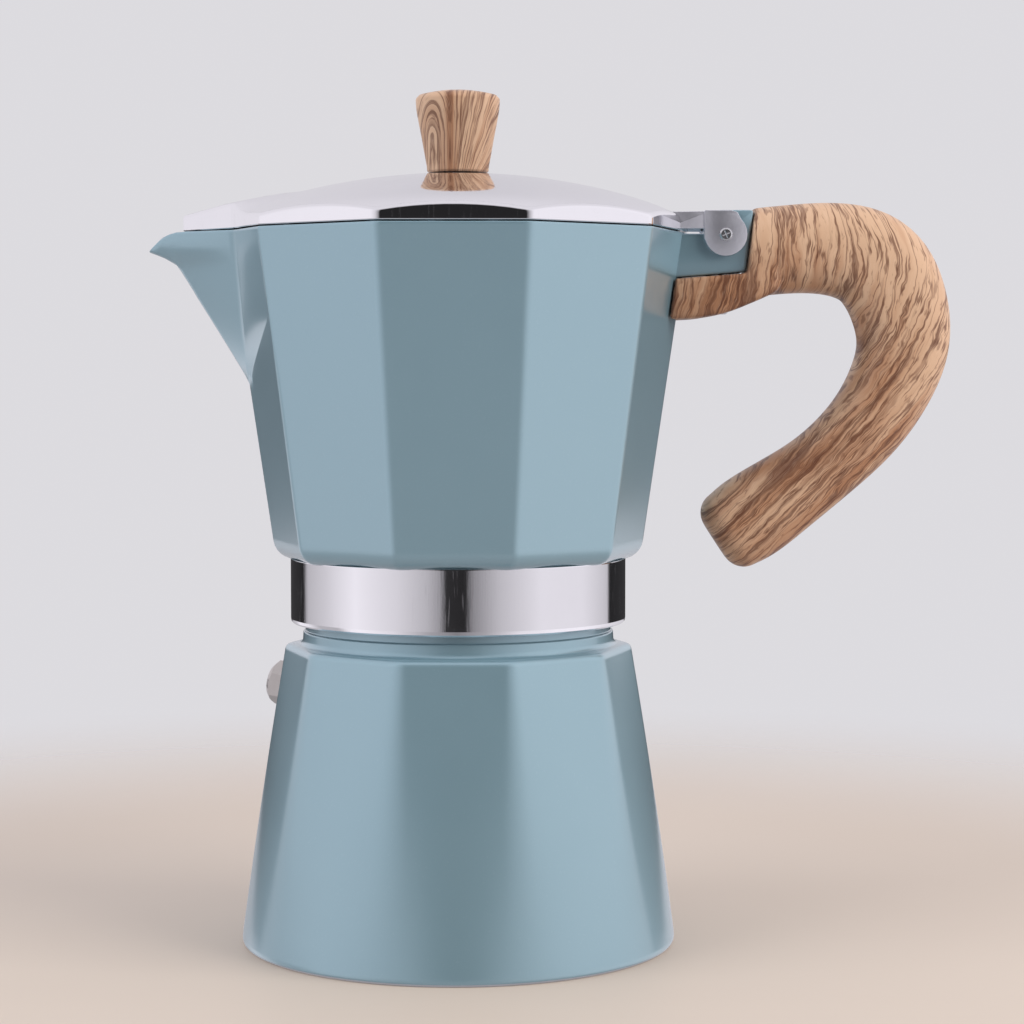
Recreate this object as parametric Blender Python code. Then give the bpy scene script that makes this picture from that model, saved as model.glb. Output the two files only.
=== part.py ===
"""A stovetop moka pot, built from its separate pieces. Metres, +Z up.

The origin is on the pot's upright axis, on the surface it stands on. The spout points to -X and the
handle to +X. The ten-sided outlines have a corner on +X and on -X, so a flat facet faces -Y.
"""

import math

import bmesh
import bpy
from mathutils import Matrix, Vector

# ---- Driving dimensions ----

FACETS = 10
GAP = 0.0003  # left between pieces that touch
RING = 40  # points around a turned or blended wall
SMALL_RING = 16  # points around a small turned piece

# Boiler
BASE_RADIUS = 0.0502
SHOULDER_RADIUS = 0.0399
SHOULDER_Z = 0.0684
BOILER_BULGE = 0.00045
BOILER_WALL = 0.0024
BOILER_FLOOR = 0.003
BEAD_HEIGHT = 0.0032

# Neck and its thread
NECK_RADIUS = 0.0337
NECK_HEIGHT = 0.0136
NECK_WALL = 0.0035
THREAD_DEPTH = 0.0012
THREAD_PITCH = 0.003
THREAD_TURNS = 2
THREAD_CLEARANCE = 0.0005
THREAD_ROOT_WIDTH = 0.0015
THREAD_CREST_WIDTH = 0.0008

# Funnel, gasket and filter plate, stacked on the neck
FUNNEL_SHEET = 0.0008
BASKET_DEPTH = 0.0205
FUNNEL_CONE_DEPTH = 0.0090
STEM_RADIUS = 0.0046
STEM_WALL = 0.0007
STEM_RISE = 0.0012  # of the stem above the cone's lower edge
STEM_FLOOR_GAP = 0.0045
FLANGE_OVERHANG = 0.0026
GASKET_THICKNESS = 0.0028
GASKET_WIDTH = 0.0048
FILTER_SHEET = 0.0008
HOLE_RADIUS = 0.0009
HOLE_RINGS = 3
HOLE_SPACING = 0.0074

# Upper chamber
COLLAR_WALL = 0.00275
COLLAR_GAP = 0.0051  # shoulder to the collar's lower edge
CHAMBER_HEIGHT = 0.0743
CHAMBER_FOOT_RADIUS = 0.0419
CHAMBER_RIM_RADIUS = 0.0528
CHAMBER_WALL = 0.0022
CHAMBER_FLOOR = 0.0032
COLUMN_HEIGHT = 0.0570
COLUMN_RADIUS = 0.0048
COLUMN_FOOT_RADIUS = 0.0075
COLUMN_BORE = 0.0032
CAP_HEIGHT = 0.0070

# Spout
SPOUT_HEIGHT = 0.0337  # from its root up to the rim
SPOUT_TIP_REACH = 0.0179  # beyond the rim's corner
SPOUT_TIP_DROP = 0.0044  # tip below the rim
SPOUT_SHOULDER_Y = 0.0160
SPOUT_WALL = 0.0018

# Hinge
PIN_REACH = 0.0077  # pin beyond the rim's corner
PIN_DROP = 0.0006  # pin below the rim
PIN_RADIUS = 0.0013
LUG_HALF_WIDTH = 0.0060
LUG_DEPTH = 0.0103  # below the rim
LUG_RISE = 0.0050  # above the rim
LUG_END_REACH = 0.0064  # beyond the pin
LUG_DRAFT = 0.0016  # its end leans out this much
LUG_SLOPE = 0.0013  # its underside rises this much
EAR_RADIUS = 0.0048
EAR_RISE = 0.0054  # flat top above the pin
EAR_THICKNESS = 0.0017

# Lid
LID_SHEET = 0.0012
LID_SKIRT = 0.0033
LID_DOME = 0.0098
LID_EDGE_FALL = 0.125  # how much more than an arc the dome falls at its edge
BEAK_REACH = 0.0094  # beyond the rim's corner
BEAK_END_HALF_WIDTH = 0.0034
BEAK_RISE = 0.0024  # its shoulders above the dome's edge

# Knob
KNOB_HEIGHT = 0.0187
KNOB_FOOT_RADIUS = 0.0072
KNOB_TOP_RADIUS = 0.0096
SCREW_RADIUS = 0.0019
INSERT_WALL = 0.0010
INSERT_LENGTH = 0.0080

# Handle
HANDLE_HALF_WIDTH = 0.0085
LIP_DEPTH = 0.0095
COUNTERBORE_ROOF = 0.0048  # left above the screw's head
SCREW_HEAD_RADIUS = 0.0033
HANDLE_SCREW_X = 0.0058  # beyond the rim's corner

# Safety valve
VALVE_FACET_ANGLE = math.radians(162)
VALVE_Z = 0.0570
VALVE_ACROSS_FLATS = 0.0090
VALVE_HEAD = 0.0048
VALVE_SHANK_RADIUS = 0.0040
VALVE_CHAMBER_RADIUS = 0.0026
VALVE_SEAT_RADIUS = 0.0013
PLUNGER_STEM_RADIUS = 0.0008
SPRING_WIRE = 0.00025
SPRING_TURNS = 5

# ---- Sizes that follow from them ----

HALF_FACET = math.pi / FACETS
NECK_TOP = SHOULDER_Z + NECK_HEIGHT
MOUTH_RADIUS = NECK_RADIUS - NECK_WALL
THREAD_CREST = NECK_RADIUS + THREAD_DEPTH
NECK_THREAD_START = NECK_TOP - THREAD_TURNS * THREAD_PITCH - THREAD_ROOT_WIDTH / 2 - 0.0001
COLLAR_BORE = THREAD_CREST + THREAD_CLEARANCE + 0.0002
COLLAR_RADIUS = COLLAR_BORE + COLLAR_WALL
COLLAR_BOTTOM = SHOULDER_Z + COLLAR_GAP
FLANGE_BOTTOM = NECK_TOP + GAP
FLANGE_TOP = FLANGE_BOTTOM + FUNNEL_SHEET
BASKET_RADIUS = MOUTH_RADIUS - 2 * GAP
FLANGE_RADIUS = BASKET_RADIUS + FLANGE_OVERHANG
BASKET_FLOOR = FLANGE_TOP - BASKET_DEPTH
GASKET_BOTTOM = FLANGE_TOP + GAP
GASKET_TOP = GASKET_BOTTOM + GASKET_THICKNESS
SEAT_RADIUS = FLANGE_RADIUS + 2 * GAP
FILTER_BOTTOM = GASKET_TOP + GAP
FILTER_TOP = FILTER_BOTTOM + FILTER_SHEET
SEAT_TOP = FILTER_TOP + GAP
CHAMBER_BOTTOM = SEAT_TOP + GAP
RIM_Z = CHAMBER_BOTTOM + CHAMBER_HEIGHT
CHAMBER_FLOOR_Z = CHAMBER_BOTTOM + CHAMBER_FLOOR
COLUMN_BOTTOM = CHAMBER_FLOOR_Z + GAP
COLUMN_TOP = COLUMN_BOTTOM + COLUMN_HEIGHT
PIN_X = CHAMBER_RIM_RADIUS + PIN_REACH
PIN_Z = RIM_Z - PIN_DROP
PIN_HOLE = PIN_RADIUS + GAP
ARM_ROOT = CHAMBER_RIM_RADIUS - 0.0045  # inside the lid's edge
LUG_BOTTOM = RIM_Z - LUG_DEPTH
LUG_TOP = RIM_Z + LUG_RISE
LUG_END = PIN_X + LUG_END_REACH
EAR_INSIDE = LUG_HALF_WIDTH + GAP
EAR_OUTSIDE = EAR_INSIDE + EAR_THICKNESS
LID_BOTTOM = RIM_Z + GAP
LID_CREASE = LID_BOTTOM + LID_SKIRT
LID_TOP = LID_CREASE + LID_DOME
KNOB_BOTTOM = LID_TOP + GAP
SCREW_HOLE = SCREW_RADIUS + GAP


# ---- Modelling helpers ----

def clear_scene():
    for old in list(bpy.data.objects):
        bpy.data.objects.remove(old, do_unlink=True)


def material(name, colour, roughness, metallic):
    made = bpy.data.materials.new(name)
    made.use_nodes = True
    shader = made.node_tree.nodes["Principled BSDF"]
    shader.inputs["Base Color"].default_value = (*colour, 1)
    shader.inputs["Roughness"].default_value = roughness
    shader.inputs["Metallic"].default_value = metallic
    return made


def finish_mesh(bm, name, smooth_angle=math.radians(30)):
    """Merge, turn every face outwards and hand the shape over as a mesh."""
    bmesh.ops.remove_doubles(bm, verts=bm.verts, dist=1e-7)
    bmesh.ops.recalc_face_normals(bm, faces=bm.faces)
    if bm.calc_volume(signed=True) < 0:
        bmesh.ops.reverse_faces(bm, faces=bm.faces)
    mesh = bpy.data.meshes.new(name)
    bm.to_mesh(mesh)
    bm.free()
    mesh.shade_smooth()
    mesh.set_sharp_from_angle(angle=smooth_angle)
    return mesh


def add_node(name, mesh, finish):
    made = bpy.data.objects.new(name, mesh)
    mesh.materials.append(finish)
    bpy.context.scene.collection.objects.link(made)
    return made


def add_helper(name, mesh):
    """A cutter or an addition for a Boolean, which isn't a piece itself."""
    made = bpy.data.objects.new(name, mesh)
    bpy.context.scene.collection.objects.link(made)
    made.hide_render = True
    made.display_type = "WIRE"
    return made


def combine(piece, operation, helper):
    step = piece.modifiers.new(helper.name, "BOOLEAN")
    step.operation = operation
    step.object = helper
    step.solver = "EXACT"


def loft(name, rings, closed=False):
    """A skin over rings of equally many points. The ends are capped, or joined when closed."""
    bm = bmesh.new()
    rows = [[bm.verts.new(point) for point in ring] for ring in rings]
    pairs = list(zip(rows, rows[1:]))
    if closed:
        pairs.append((rows[-1], rows[0]))
    else:
        bm.faces.new(rows[0])
        bm.faces.new(rows[-1])
    for lower, upper in pairs:
        count = len(lower)
        for i in range(count):
            after = (i + 1) % count
            bm.faces.new((lower[i], lower[after], upper[after], upper[i]))
    return finish_mesh(bm, name)


def circle(radius, z, count=RING):
    turn = 2 * math.pi / count
    return [Vector((radius * math.cos(i * turn), radius * math.sin(i * turn), z)) for i in range(count)]


def turned(name, profile, count=RING):
    """A ring turned about Z from a closed outline of (radius, z) points that stays off the axis."""
    return loft(name, [circle(radius, z, count) for radius, z in profile], closed=True)


def turned_solid(name, profile, count=SMALL_RING):
    """A solid turned about Z from its outer (radius, z) points, capped at both ends."""
    return loft(name, [circle(radius, z, count) for radius, z in profile])


def facet_outline(corner_radius, z, roundness=0.0, count=FACETS):
    """A ten-sided ring with corners on the X axis, blended towards a circle by its roundness."""
    apothem = corner_radius * math.cos(HALF_FACET)
    ring = []
    for i in range(count):
        angle = 2 * math.pi * i / count
        off_centre = (angle % (2 * HALF_FACET)) - HALF_FACET
        flat = apothem / math.cos(off_centre)
        radius = flat + (corner_radius - flat) * roundness
        ring.append(Vector((radius * math.cos(angle), radius * math.sin(angle), z)))
    return ring


def slab(name, outline, low_y, high_y):
    """A plate with this (x, z) outline, between two values of y."""
    return loft(name, [[Vector((x, y, z)) for x, z in outline] for y in (low_y, high_y)])


def rod(name, start, end, radius, count=SMALL_RING):
    """A straight round bar between two points."""
    start, end = Vector(start), Vector(end)
    turn = (end - start).to_track_quat("Z", "Y").to_matrix()
    rings = [[point + turn @ spoke for spoke in circle(radius, 0, count)] for point in (start, end)]
    return loft(name, rings)


def arc(centre_x, centre_z, radius, start, end, steps):
    """Points (x, z) on a round stretch, from one angle in degrees to another."""
    angles = [math.radians(start + (end - start) * i / steps) for i in range(steps + 1)]
    return [(centre_x + radius * math.cos(a), centre_z + radius * math.sin(a)) for a in angles]


def helical_ridge(name, root_radius, depth, start_angle, start_z):
    """A thread's ridge that fades into its wall at both ends. A negative depth points inwards."""
    embed = math.copysign(0.0004, depth)
    steps = THREAD_TURNS * RING
    fade = RING // 10
    rings = []
    for i in range(steps + 1):
        angle = start_angle + 2 * math.pi * i / RING
        z = start_z + THREAD_PITCH * i / RING
        shown = min(1.0, i / fade, (steps - i) / fade)
        crest = root_radius - 0.5 * embed + (depth + 0.5 * embed) * shown
        inner = root_radius - embed
        section = (
            (inner, -THREAD_ROOT_WIDTH / 2),
            (crest, -THREAD_CREST_WIDTH / 2),
            (crest, THREAD_CREST_WIDTH / 2),
            (inner, THREAD_ROOT_WIDTH / 2),
        )
        rings.append([Vector((r * math.cos(angle), r * math.sin(angle), z + dz)) for r, dz in section])
    return loft(name, rings)


def perforations(name, low_z, high_z):
    """The punches for a perforated plate: rings of small six-sided holes about the centre."""
    bm = bmesh.new()
    places = [(0.0, 0.0)]
    for ring in range(1, HOLE_RINGS + 1):
        for i in range(6 * ring):
            angle = 2 * math.pi * i / (6 * ring)
            places.append((ring * HOLE_SPACING * math.cos(angle), ring * HOLE_SPACING * math.sin(angle)))
    for x, y in places:
        middle = Matrix.Translation((x, y, (low_z + high_z) / 2))
        bmesh.ops.create_cone(
            bm, cap_ends=True, segments=6, radius1=HOLE_RADIUS, radius2=HOLE_RADIUS,
            depth=high_z - low_z, matrix=middle,
        )
    return finish_mesh(bm, name)


# ---- Boiler ----

def boiler_corner_radius(z):
    """The boiler's corner radius at a height: a straight flare with a slight bulge."""
    t = z / SHOULDER_Z
    return BASE_RADIUS + (SHOULDER_RADIUS - BASE_RADIUS) * t + 4 * BOILER_BULGE * t * (1 - t)


def boiler_roundness(z):
    """Round at the foot, ten-sided at the shoulder."""
    return 1 - max(0.0, min(1.0, z / SHOULDER_Z))


def boiler_ring(z, inset=0.0):
    return facet_outline(boiler_corner_radius(z) - inset, z, boiler_roundness(z), RING)


def boiler_bore(z):
    return boiler_corner_radius(z) * math.cos(HALF_FACET) - BOILER_WALL


def make_boiler(finish):
    bead_radius = THREAD_CREST + 0.0007
    bead_top = SHOULDER_Z + BEAD_HEIGHT
    plain_top = COLLAR_BOTTOM + GAP
    vault = SHOULDER_Z - 0.0054
    rings = [circle(BASE_RADIUS - 0.0018, 0), circle(BASE_RADIUS - 0.0006, 0.0006)]
    rings += [boiler_ring(0.0018 + (SHOULDER_Z - 0.0028) * i / 5) for i in range(6)]
    rings += [
        boiler_ring(SHOULDER_Z, inset=0.0009),
        circle(bead_radius + 0.0001, SHOULDER_Z),
        circle(bead_radius, bead_top - 0.0004),
        circle(THREAD_CREST, bead_top),
        circle(THREAD_CREST, plain_top - 0.0001),
        circle(NECK_RADIUS, plain_top),
        circle(NECK_RADIUS, NECK_TOP - 0.0003),
        circle(NECK_RADIUS - 0.0003, NECK_TOP),
        circle(MOUTH_RADIUS, NECK_TOP),
        circle(MOUTH_RADIUS, SHOULDER_Z + 0.0008),
        circle((MOUTH_RADIUS + boiler_bore(vault)) / 2 + 0.0008, SHOULDER_Z - 0.0022),
        circle(boiler_bore(vault), vault),
        circle(boiler_bore(BOILER_FLOOR + 0.002), BOILER_FLOOR + 0.002),
        circle(boiler_bore(BOILER_FLOOR) - 0.002, BOILER_FLOOR),
    ]
    boiler = add_node("boiler", loft("boiler", rings), finish)
    thread = helical_ridge(
        "boiler_thread", NECK_RADIUS, THREAD_DEPTH, 0.0,
        NECK_THREAD_START,
    )
    combine(boiler, "UNION", add_helper("boiler_thread", thread))
    hole = rod("valve_hole", (0, 0, -0.008), (0, 0, 0.004), VALVE_SHANK_RADIUS + GAP)
    hole.transform(valve_place())
    combine(boiler, "DIFFERENCE", add_helper("valve_hole", hole))
    return boiler


# ---- Safety valve: its own axis points out of the wall, and zero is on the outer wall ----

def valve_place():
    flare = (boiler_corner_radius(0) - boiler_corner_radius(SHOULDER_Z)) / SHOULDER_Z
    tilt = math.atan(flare * math.cos(HALF_FACET))
    corner = boiler_corner_radius(VALVE_Z)
    roundness = boiler_roundness(VALVE_Z)
    wall = corner * (math.cos(HALF_FACET) * (1 - roundness) + roundness)
    out = Vector((math.cos(VALVE_FACET_ANGLE), math.sin(VALVE_FACET_ANGLE), 0))
    place = Matrix.Translation(out * wall + Vector((0, 0, VALVE_Z)))
    swing = Matrix.Rotation(VALVE_FACET_ANGLE, 4, "Z")
    lean = Matrix.Rotation(math.pi / 2 - tilt, 4, "Y")
    return place @ swing @ lean


def place_valve_piece(piece):
    piece.matrix_world = valve_place()
    return piece


def hexagon(across_flats, z):
    corner = across_flats / 2 / math.cos(math.pi / 6)
    return circle(corner, z, 6)


VALVE_INNER_WALL = -0.0034  # nothing of the boiler's wall lies further in
VALVE_HEAD_BOTTOM = 3 * GAP + 0.0006
VALVE_HEAD_TOP = VALVE_HEAD_BOTTOM + VALVE_HEAD
NUT_TOP = VALVE_INNER_WALL - GAP
NUT_THICKNESS = 0.0022
SHANK_END = NUT_TOP - NUT_THICKNESS - 0.0012
SEAT_INSIDE = SHANK_END + 0.0010
RETAINER_THICKNESS = 0.0010
RETAINER_BOTTOM = VALVE_HEAD_TOP - RETAINER_THICKNESS - 0.0002
PLUNGER_HEAD_BOTTOM = SEAT_INSIDE + GAP
PLUNGER_HEAD_TOP = PLUNGER_HEAD_BOTTOM + 0.0010
SPRING_BOTTOM = PLUNGER_HEAD_TOP + GAP + SPRING_WIRE
SPRING_TOP = RETAINER_BOTTOM - GAP - SPRING_WIRE


def make_valve_body(finish):
    dome = VALVE_ACROSS_FLATS * 0.40
    rings = [
        circle(VALVE_SHANK_RADIUS, SHANK_END, 24),
        circle(VALVE_SHANK_RADIUS, VALVE_HEAD_BOTTOM + 0.0003, 24),
    ]
    body = add_node("valve_body", loft("valve_body", rings), finish)
    head = loft("valve_head", [hexagon(VALVE_ACROSS_FLATS, z) for z in (VALVE_HEAD_BOTTOM, VALVE_HEAD_TOP)])
    head = add_helper("valve_head", head)
    crown_profile = [
        (VALVE_ACROSS_FLATS, VALVE_HEAD_BOTTOM - 0.001),
        (VALVE_ACROSS_FLATS, VALVE_HEAD_TOP - 0.0030),
        (VALVE_ACROSS_FLATS * 0.555, VALVE_HEAD_TOP - 0.0012),
        (dome, VALVE_HEAD_TOP),
    ]
    crown = add_helper("valve_crown", turned_solid("valve_crown", crown_profile, 24))
    combine(head, "INTERSECT", crown)
    combine(body, "UNION", head)
    bore_profile = [
        (VALVE_SEAT_RADIUS, SHANK_END - 0.001),
        (VALVE_SEAT_RADIUS, SEAT_INSIDE),
        (VALVE_CHAMBER_RADIUS, SEAT_INSIDE + 0.00005),
        (VALVE_CHAMBER_RADIUS, VALVE_HEAD_TOP + 0.001),
    ]
    bore = add_helper("valve_bore", turned_solid("valve_bore", bore_profile))
    combine(body, "DIFFERENCE", bore)
    for helper in (head, crown, bore):
        place_valve_piece(helper)
    return place_valve_piece(body)


def make_valve_washer(finish):
    inner, outer = VALVE_SHANK_RADIUS + GAP, VALVE_SHANK_RADIUS + 0.0011
    low, high = 2 * GAP, 2 * GAP + 0.0006
    mesh = turned("valve_washer", [(outer, low), (outer, high), (inner, high), (inner, low)], 24)
    return place_valve_piece(add_node("valve_washer", mesh, finish))


def make_valve_nut(finish):
    rings = [hexagon(VALVE_ACROSS_FLATS + 0.003, z) for z in (NUT_TOP - NUT_THICKNESS, NUT_TOP)]
    nut = add_node("valve_nut", loft("valve_nut", rings), finish)
    bore = rod("nut_bore", (0, 0, NUT_TOP - 0.005), (0, 0, NUT_TOP + 0.002), VALVE_SHANK_RADIUS + GAP, 24)
    bore = add_helper("nut_bore", bore)
    combine(nut, "DIFFERENCE", bore)
    place_valve_piece(bore)
    return place_valve_piece(nut)


def make_valve_retainer(finish):
    outer, inner = VALVE_CHAMBER_RADIUS - GAP, PLUNGER_STEM_RADIUS + GAP
    top = RETAINER_BOTTOM + RETAINER_THICKNESS
    mesh = turned(
        "valve_retainer", [(outer, RETAINER_BOTTOM), (outer, top), (inner, top), (inner, RETAINER_BOTTOM)],
        SMALL_RING,
    )
    return place_valve_piece(add_node("valve_retainer", mesh, finish))


def make_valve_plunger(finish):
    head_radius = VALVE_CHAMBER_RADIUS - 2 * GAP
    tip = VALVE_HEAD_TOP + 0.0006
    profile = [
        (VALVE_SEAT_RADIUS - GAP, PLUNGER_HEAD_BOTTOM - 0.0006),
        (VALVE_SEAT_RADIUS - GAP, PLUNGER_HEAD_BOTTOM),
        (head_radius, PLUNGER_HEAD_BOTTOM + 0.0001),
        (head_radius, PLUNGER_HEAD_TOP),
        (PLUNGER_STEM_RADIUS, PLUNGER_HEAD_TOP),
        (PLUNGER_STEM_RADIUS, tip - 0.0003),
        (PLUNGER_STEM_RADIUS * 0.6, tip),
    ]
    return place_valve_piece(add_node("valve_plunger", turned_solid("valve_plunger", profile), finish))


def make_valve_spring(finish):
    coil_radius = VALVE_CHAMBER_RADIUS - 2 * GAP - SPRING_WIRE
    steps = SPRING_TURNS * 14
    rings = []
    for i in range(steps + 1):
        angle = 2 * math.pi * i / 14
        z = SPRING_BOTTOM + (SPRING_TOP - SPRING_BOTTOM) * i / steps
        out = Vector((math.cos(angle), math.sin(angle), 0))
        centre = out * coil_radius + Vector((0, 0, z))
        spokes = [(math.cos(2 * math.pi * k / 5), math.sin(2 * math.pi * k / 5)) for k in range(5)]
        rings.append([centre + out * a * SPRING_WIRE + Vector((0, 0, b * SPRING_WIRE)) for a, b in spokes])
    return place_valve_piece(add_node("valve_spring", loft("valve_spring", rings), finish))


# ---- Funnel and what stacks on it ----

CONE_TOP = BASKET_FLOOR - FUNNEL_SHEET
CONE_BOTTOM = CONE_TOP - FUNNEL_CONE_DEPTH


def make_funnel(finish):
    """The basket and its cone, which ends in a hole that the stem is pressed into."""
    wall = FUNNEL_SHEET
    ledge = BASKET_RADIUS - wall - 0.0018
    hole = STEM_RADIUS + GAP
    profile = [
        (hole + wall, CONE_BOTTOM),
        (ledge + wall, CONE_TOP - 0.0012),
        (BASKET_RADIUS, CONE_TOP),
        (BASKET_RADIUS, FLANGE_BOTTOM),
        (FLANGE_RADIUS, FLANGE_BOTTOM),
        (FLANGE_RADIUS, FLANGE_TOP),
        (BASKET_RADIUS - wall, FLANGE_TOP),
        (BASKET_RADIUS - wall, BASKET_FLOOR),
        (ledge, BASKET_FLOOR),
        (ledge, CONE_TOP - 0.0008),
        (hole, CONE_BOTTOM + 0.0006),
        (hole, CONE_BOTTOM),
    ]
    return add_node("funnel", turned("funnel", profile), finish)


def make_funnel_stem(finish):
    """The tube pressed into the cone's hole, which reaches almost to the boiler's floor."""
    end = BOILER_FLOOR + STEM_FLOOR_GAP
    top = CONE_BOTTOM + STEM_RISE
    bore = STEM_RADIUS - STEM_WALL
    profile = [(STEM_RADIUS, end), (STEM_RADIUS, top), (bore, top), (bore, end)]
    return add_node("funnel_stem", turned("funnel_stem", profile, 24), finish)


def make_funnel_disc(finish):
    low = BASKET_FLOOR + GAP
    high = low + FUNNEL_SHEET
    radius = BASKET_RADIUS - FUNNEL_SHEET - GAP
    disc = add_node("funnel_disc", turned_solid("funnel_disc", [(radius, low), (radius, high)], RING), finish)
    punches = add_helper("funnel_disc_holes", perforations("funnel_disc_holes", low - 0.001, high + 0.001))
    combine(disc, "DIFFERENCE", punches)
    return disc


def make_gasket(finish):
    outer = FLANGE_RADIUS
    inner = outer - GASKET_WIDTH
    low, high = GASKET_BOTTOM, GASKET_TOP
    return add_node("gasket", turned("gasket", [(outer, low), (outer, high), (inner, high), (inner, low)]), finish)


def make_filter_plate(finish):
    plate_mesh = turned_solid("filter_plate", [(FLANGE_RADIUS, FILTER_BOTTOM), (FLANGE_RADIUS, FILTER_TOP)], RING)
    plate = add_node("filter_plate", plate_mesh, finish)
    punches = perforations("filter_plate_holes", FILTER_BOTTOM - 0.001, FILTER_TOP + 0.001)
    combine(plate, "DIFFERENCE", add_helper("filter_plate_holes", punches))
    return plate


# ---- Upper chamber: collar, ten-sided wall, spout and hinge lug in one casting ----

def chamber_corner_radius(z):
    t = (z - CHAMBER_BOTTOM) / CHAMBER_HEIGHT
    return CHAMBER_FOOT_RADIUS + (CHAMBER_RIM_RADIUS - CHAMBER_FOOT_RADIUS) * t


def spout_keel(t):
    """How far the spout's edge stands beyond the wall's corner, from its root at 0 to the rim at 1."""
    straight_end = 0.76
    if t <= straight_end:
        return 0.0126 * t / straight_end
    if t <= 1 - SPOUT_TIP_DROP / SPOUT_HEIGHT:
        hook = (t - straight_end) / (1 - SPOUT_TIP_DROP / SPOUT_HEIGHT - straight_end)
        return 0.0126 + (SPOUT_TIP_REACH + 0.0007 - 0.0126) * hook ** 1.7
    fall = (1 - t) * SPOUT_HEIGHT / SPOUT_TIP_DROP
    return 0.0080 + (SPOUT_TIP_REACH + 0.0007 - 0.0080) * fall ** 0.45


def mirrored_plan(z, half):
    """A level outline from its points on the near side, copied across the XZ plane."""
    other = [(x, -y) for x, y in reversed(half)]
    return [Vector((x, y, z)) for x, y in half + other]


def spout_shoulder(t):
    """Where the spout's side turns towards its edge: (x beyond the wall's corner, y)."""
    y = SPOUT_SHOULDER_Y * min(t, 1.0) ** 0.62
    return y * math.tan(HALF_FACET) - 0.0020 * t, y


def spout_outside():
    facet_side = 2 * CHAMBER_RIM_RADIUS * math.sin(HALF_FACET) * math.cos(HALF_FACET)
    rings = []
    for t in (0.02, 0.22, 0.43, 0.62, 0.76, 0.82, 0.869, 0.90, 0.94, 0.98, 1.0):
        z = RIM_Z - SPOUT_HEIGHT * (1 - t)
        corner = chamber_corner_radius(z)
        shoulder_x, shoulder_y = spout_shoulder(t)
        flank_y = facet_side * min(0.93, t / 0.43)
        flank_x = flank_y * math.tan(HALF_FACET) + 0.0002
        half = [
            (0.0062 + flank_x - corner, -flank_y),
            (flank_x - corner, -flank_y),
            (shoulder_x - corner, -min(shoulder_y, 0.95 * flank_y)),
            (-corner - spout_keel(t), -0.0007),
        ]
        half[0] = (max(half[0][0], 0.0064 - corner), half[0][1])
        rings.append(mirrored_plan(z, half))
    return loft("spout", rings)


def spout_hollow():
    """The channel inside the spout, open to the chamber and at the top, running out at the lip."""
    rings = []
    for t in (0.16, 0.30, 0.45, 0.62, 0.76, 0.84, 0.89, 0.93, 1.0, 1.05):
        z = RIM_Z - SPOUT_HEIGHT * (1 - t)
        corner = chamber_corner_radius(z)
        shoulder_x, shoulder_y = spout_shoulder(t)
        inner_y = max(0.0008, shoulder_y - SPOUT_WALL)
        keel = spout_keel(t - 0.06) if t < 0.85 else spout_keel(0.78) + 0.20 * (t - 0.84)
        half = [
            (0.012 - corner, -inner_y),
            (shoulder_x + SPOUT_WALL * 1.1 - corner, -inner_y),
            (SPOUT_WALL * 1.2 - corner - keel, -0.0004),
        ]
        rings.append(mirrored_plan(z, half))
    return loft("spout_hollow", rings)


LUG_ROOT = chamber_corner_radius(LUG_BOTTOM) - 0.0012  # sunk in the wall


def lug_underside(clear=0.0):
    """The lug's lower edge from the wall to its rounded outer corner, as (x, z) points this far below it."""
    corner_x = LUG_END - LUG_DRAFT
    return [
        (LUG_ROOT, LUG_BOTTOM - clear),
        (corner_x - 0.0008 + clear, LUG_BOTTOM + LUG_SLOPE - clear),
        (corner_x + clear, LUG_BOTTOM + LUG_SLOPE + 0.0009 - clear),
    ]


def lug_outline():
    """The hinge lug from the side, embedded in the wall, cut back under the lid's edge."""
    cut_back = PIN_X - EAR_RADIUS + GAP
    return lug_underside() + [
        (LUG_END, LUG_TOP),
        (PIN_X - PIN_RADIUS, LUG_TOP),
        (cut_back, PIN_Z + PIN_RADIUS + GAP),
        (cut_back, RIM_Z - GAP),
        (LUG_ROOT, RIM_Z - GAP),
    ]


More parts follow.
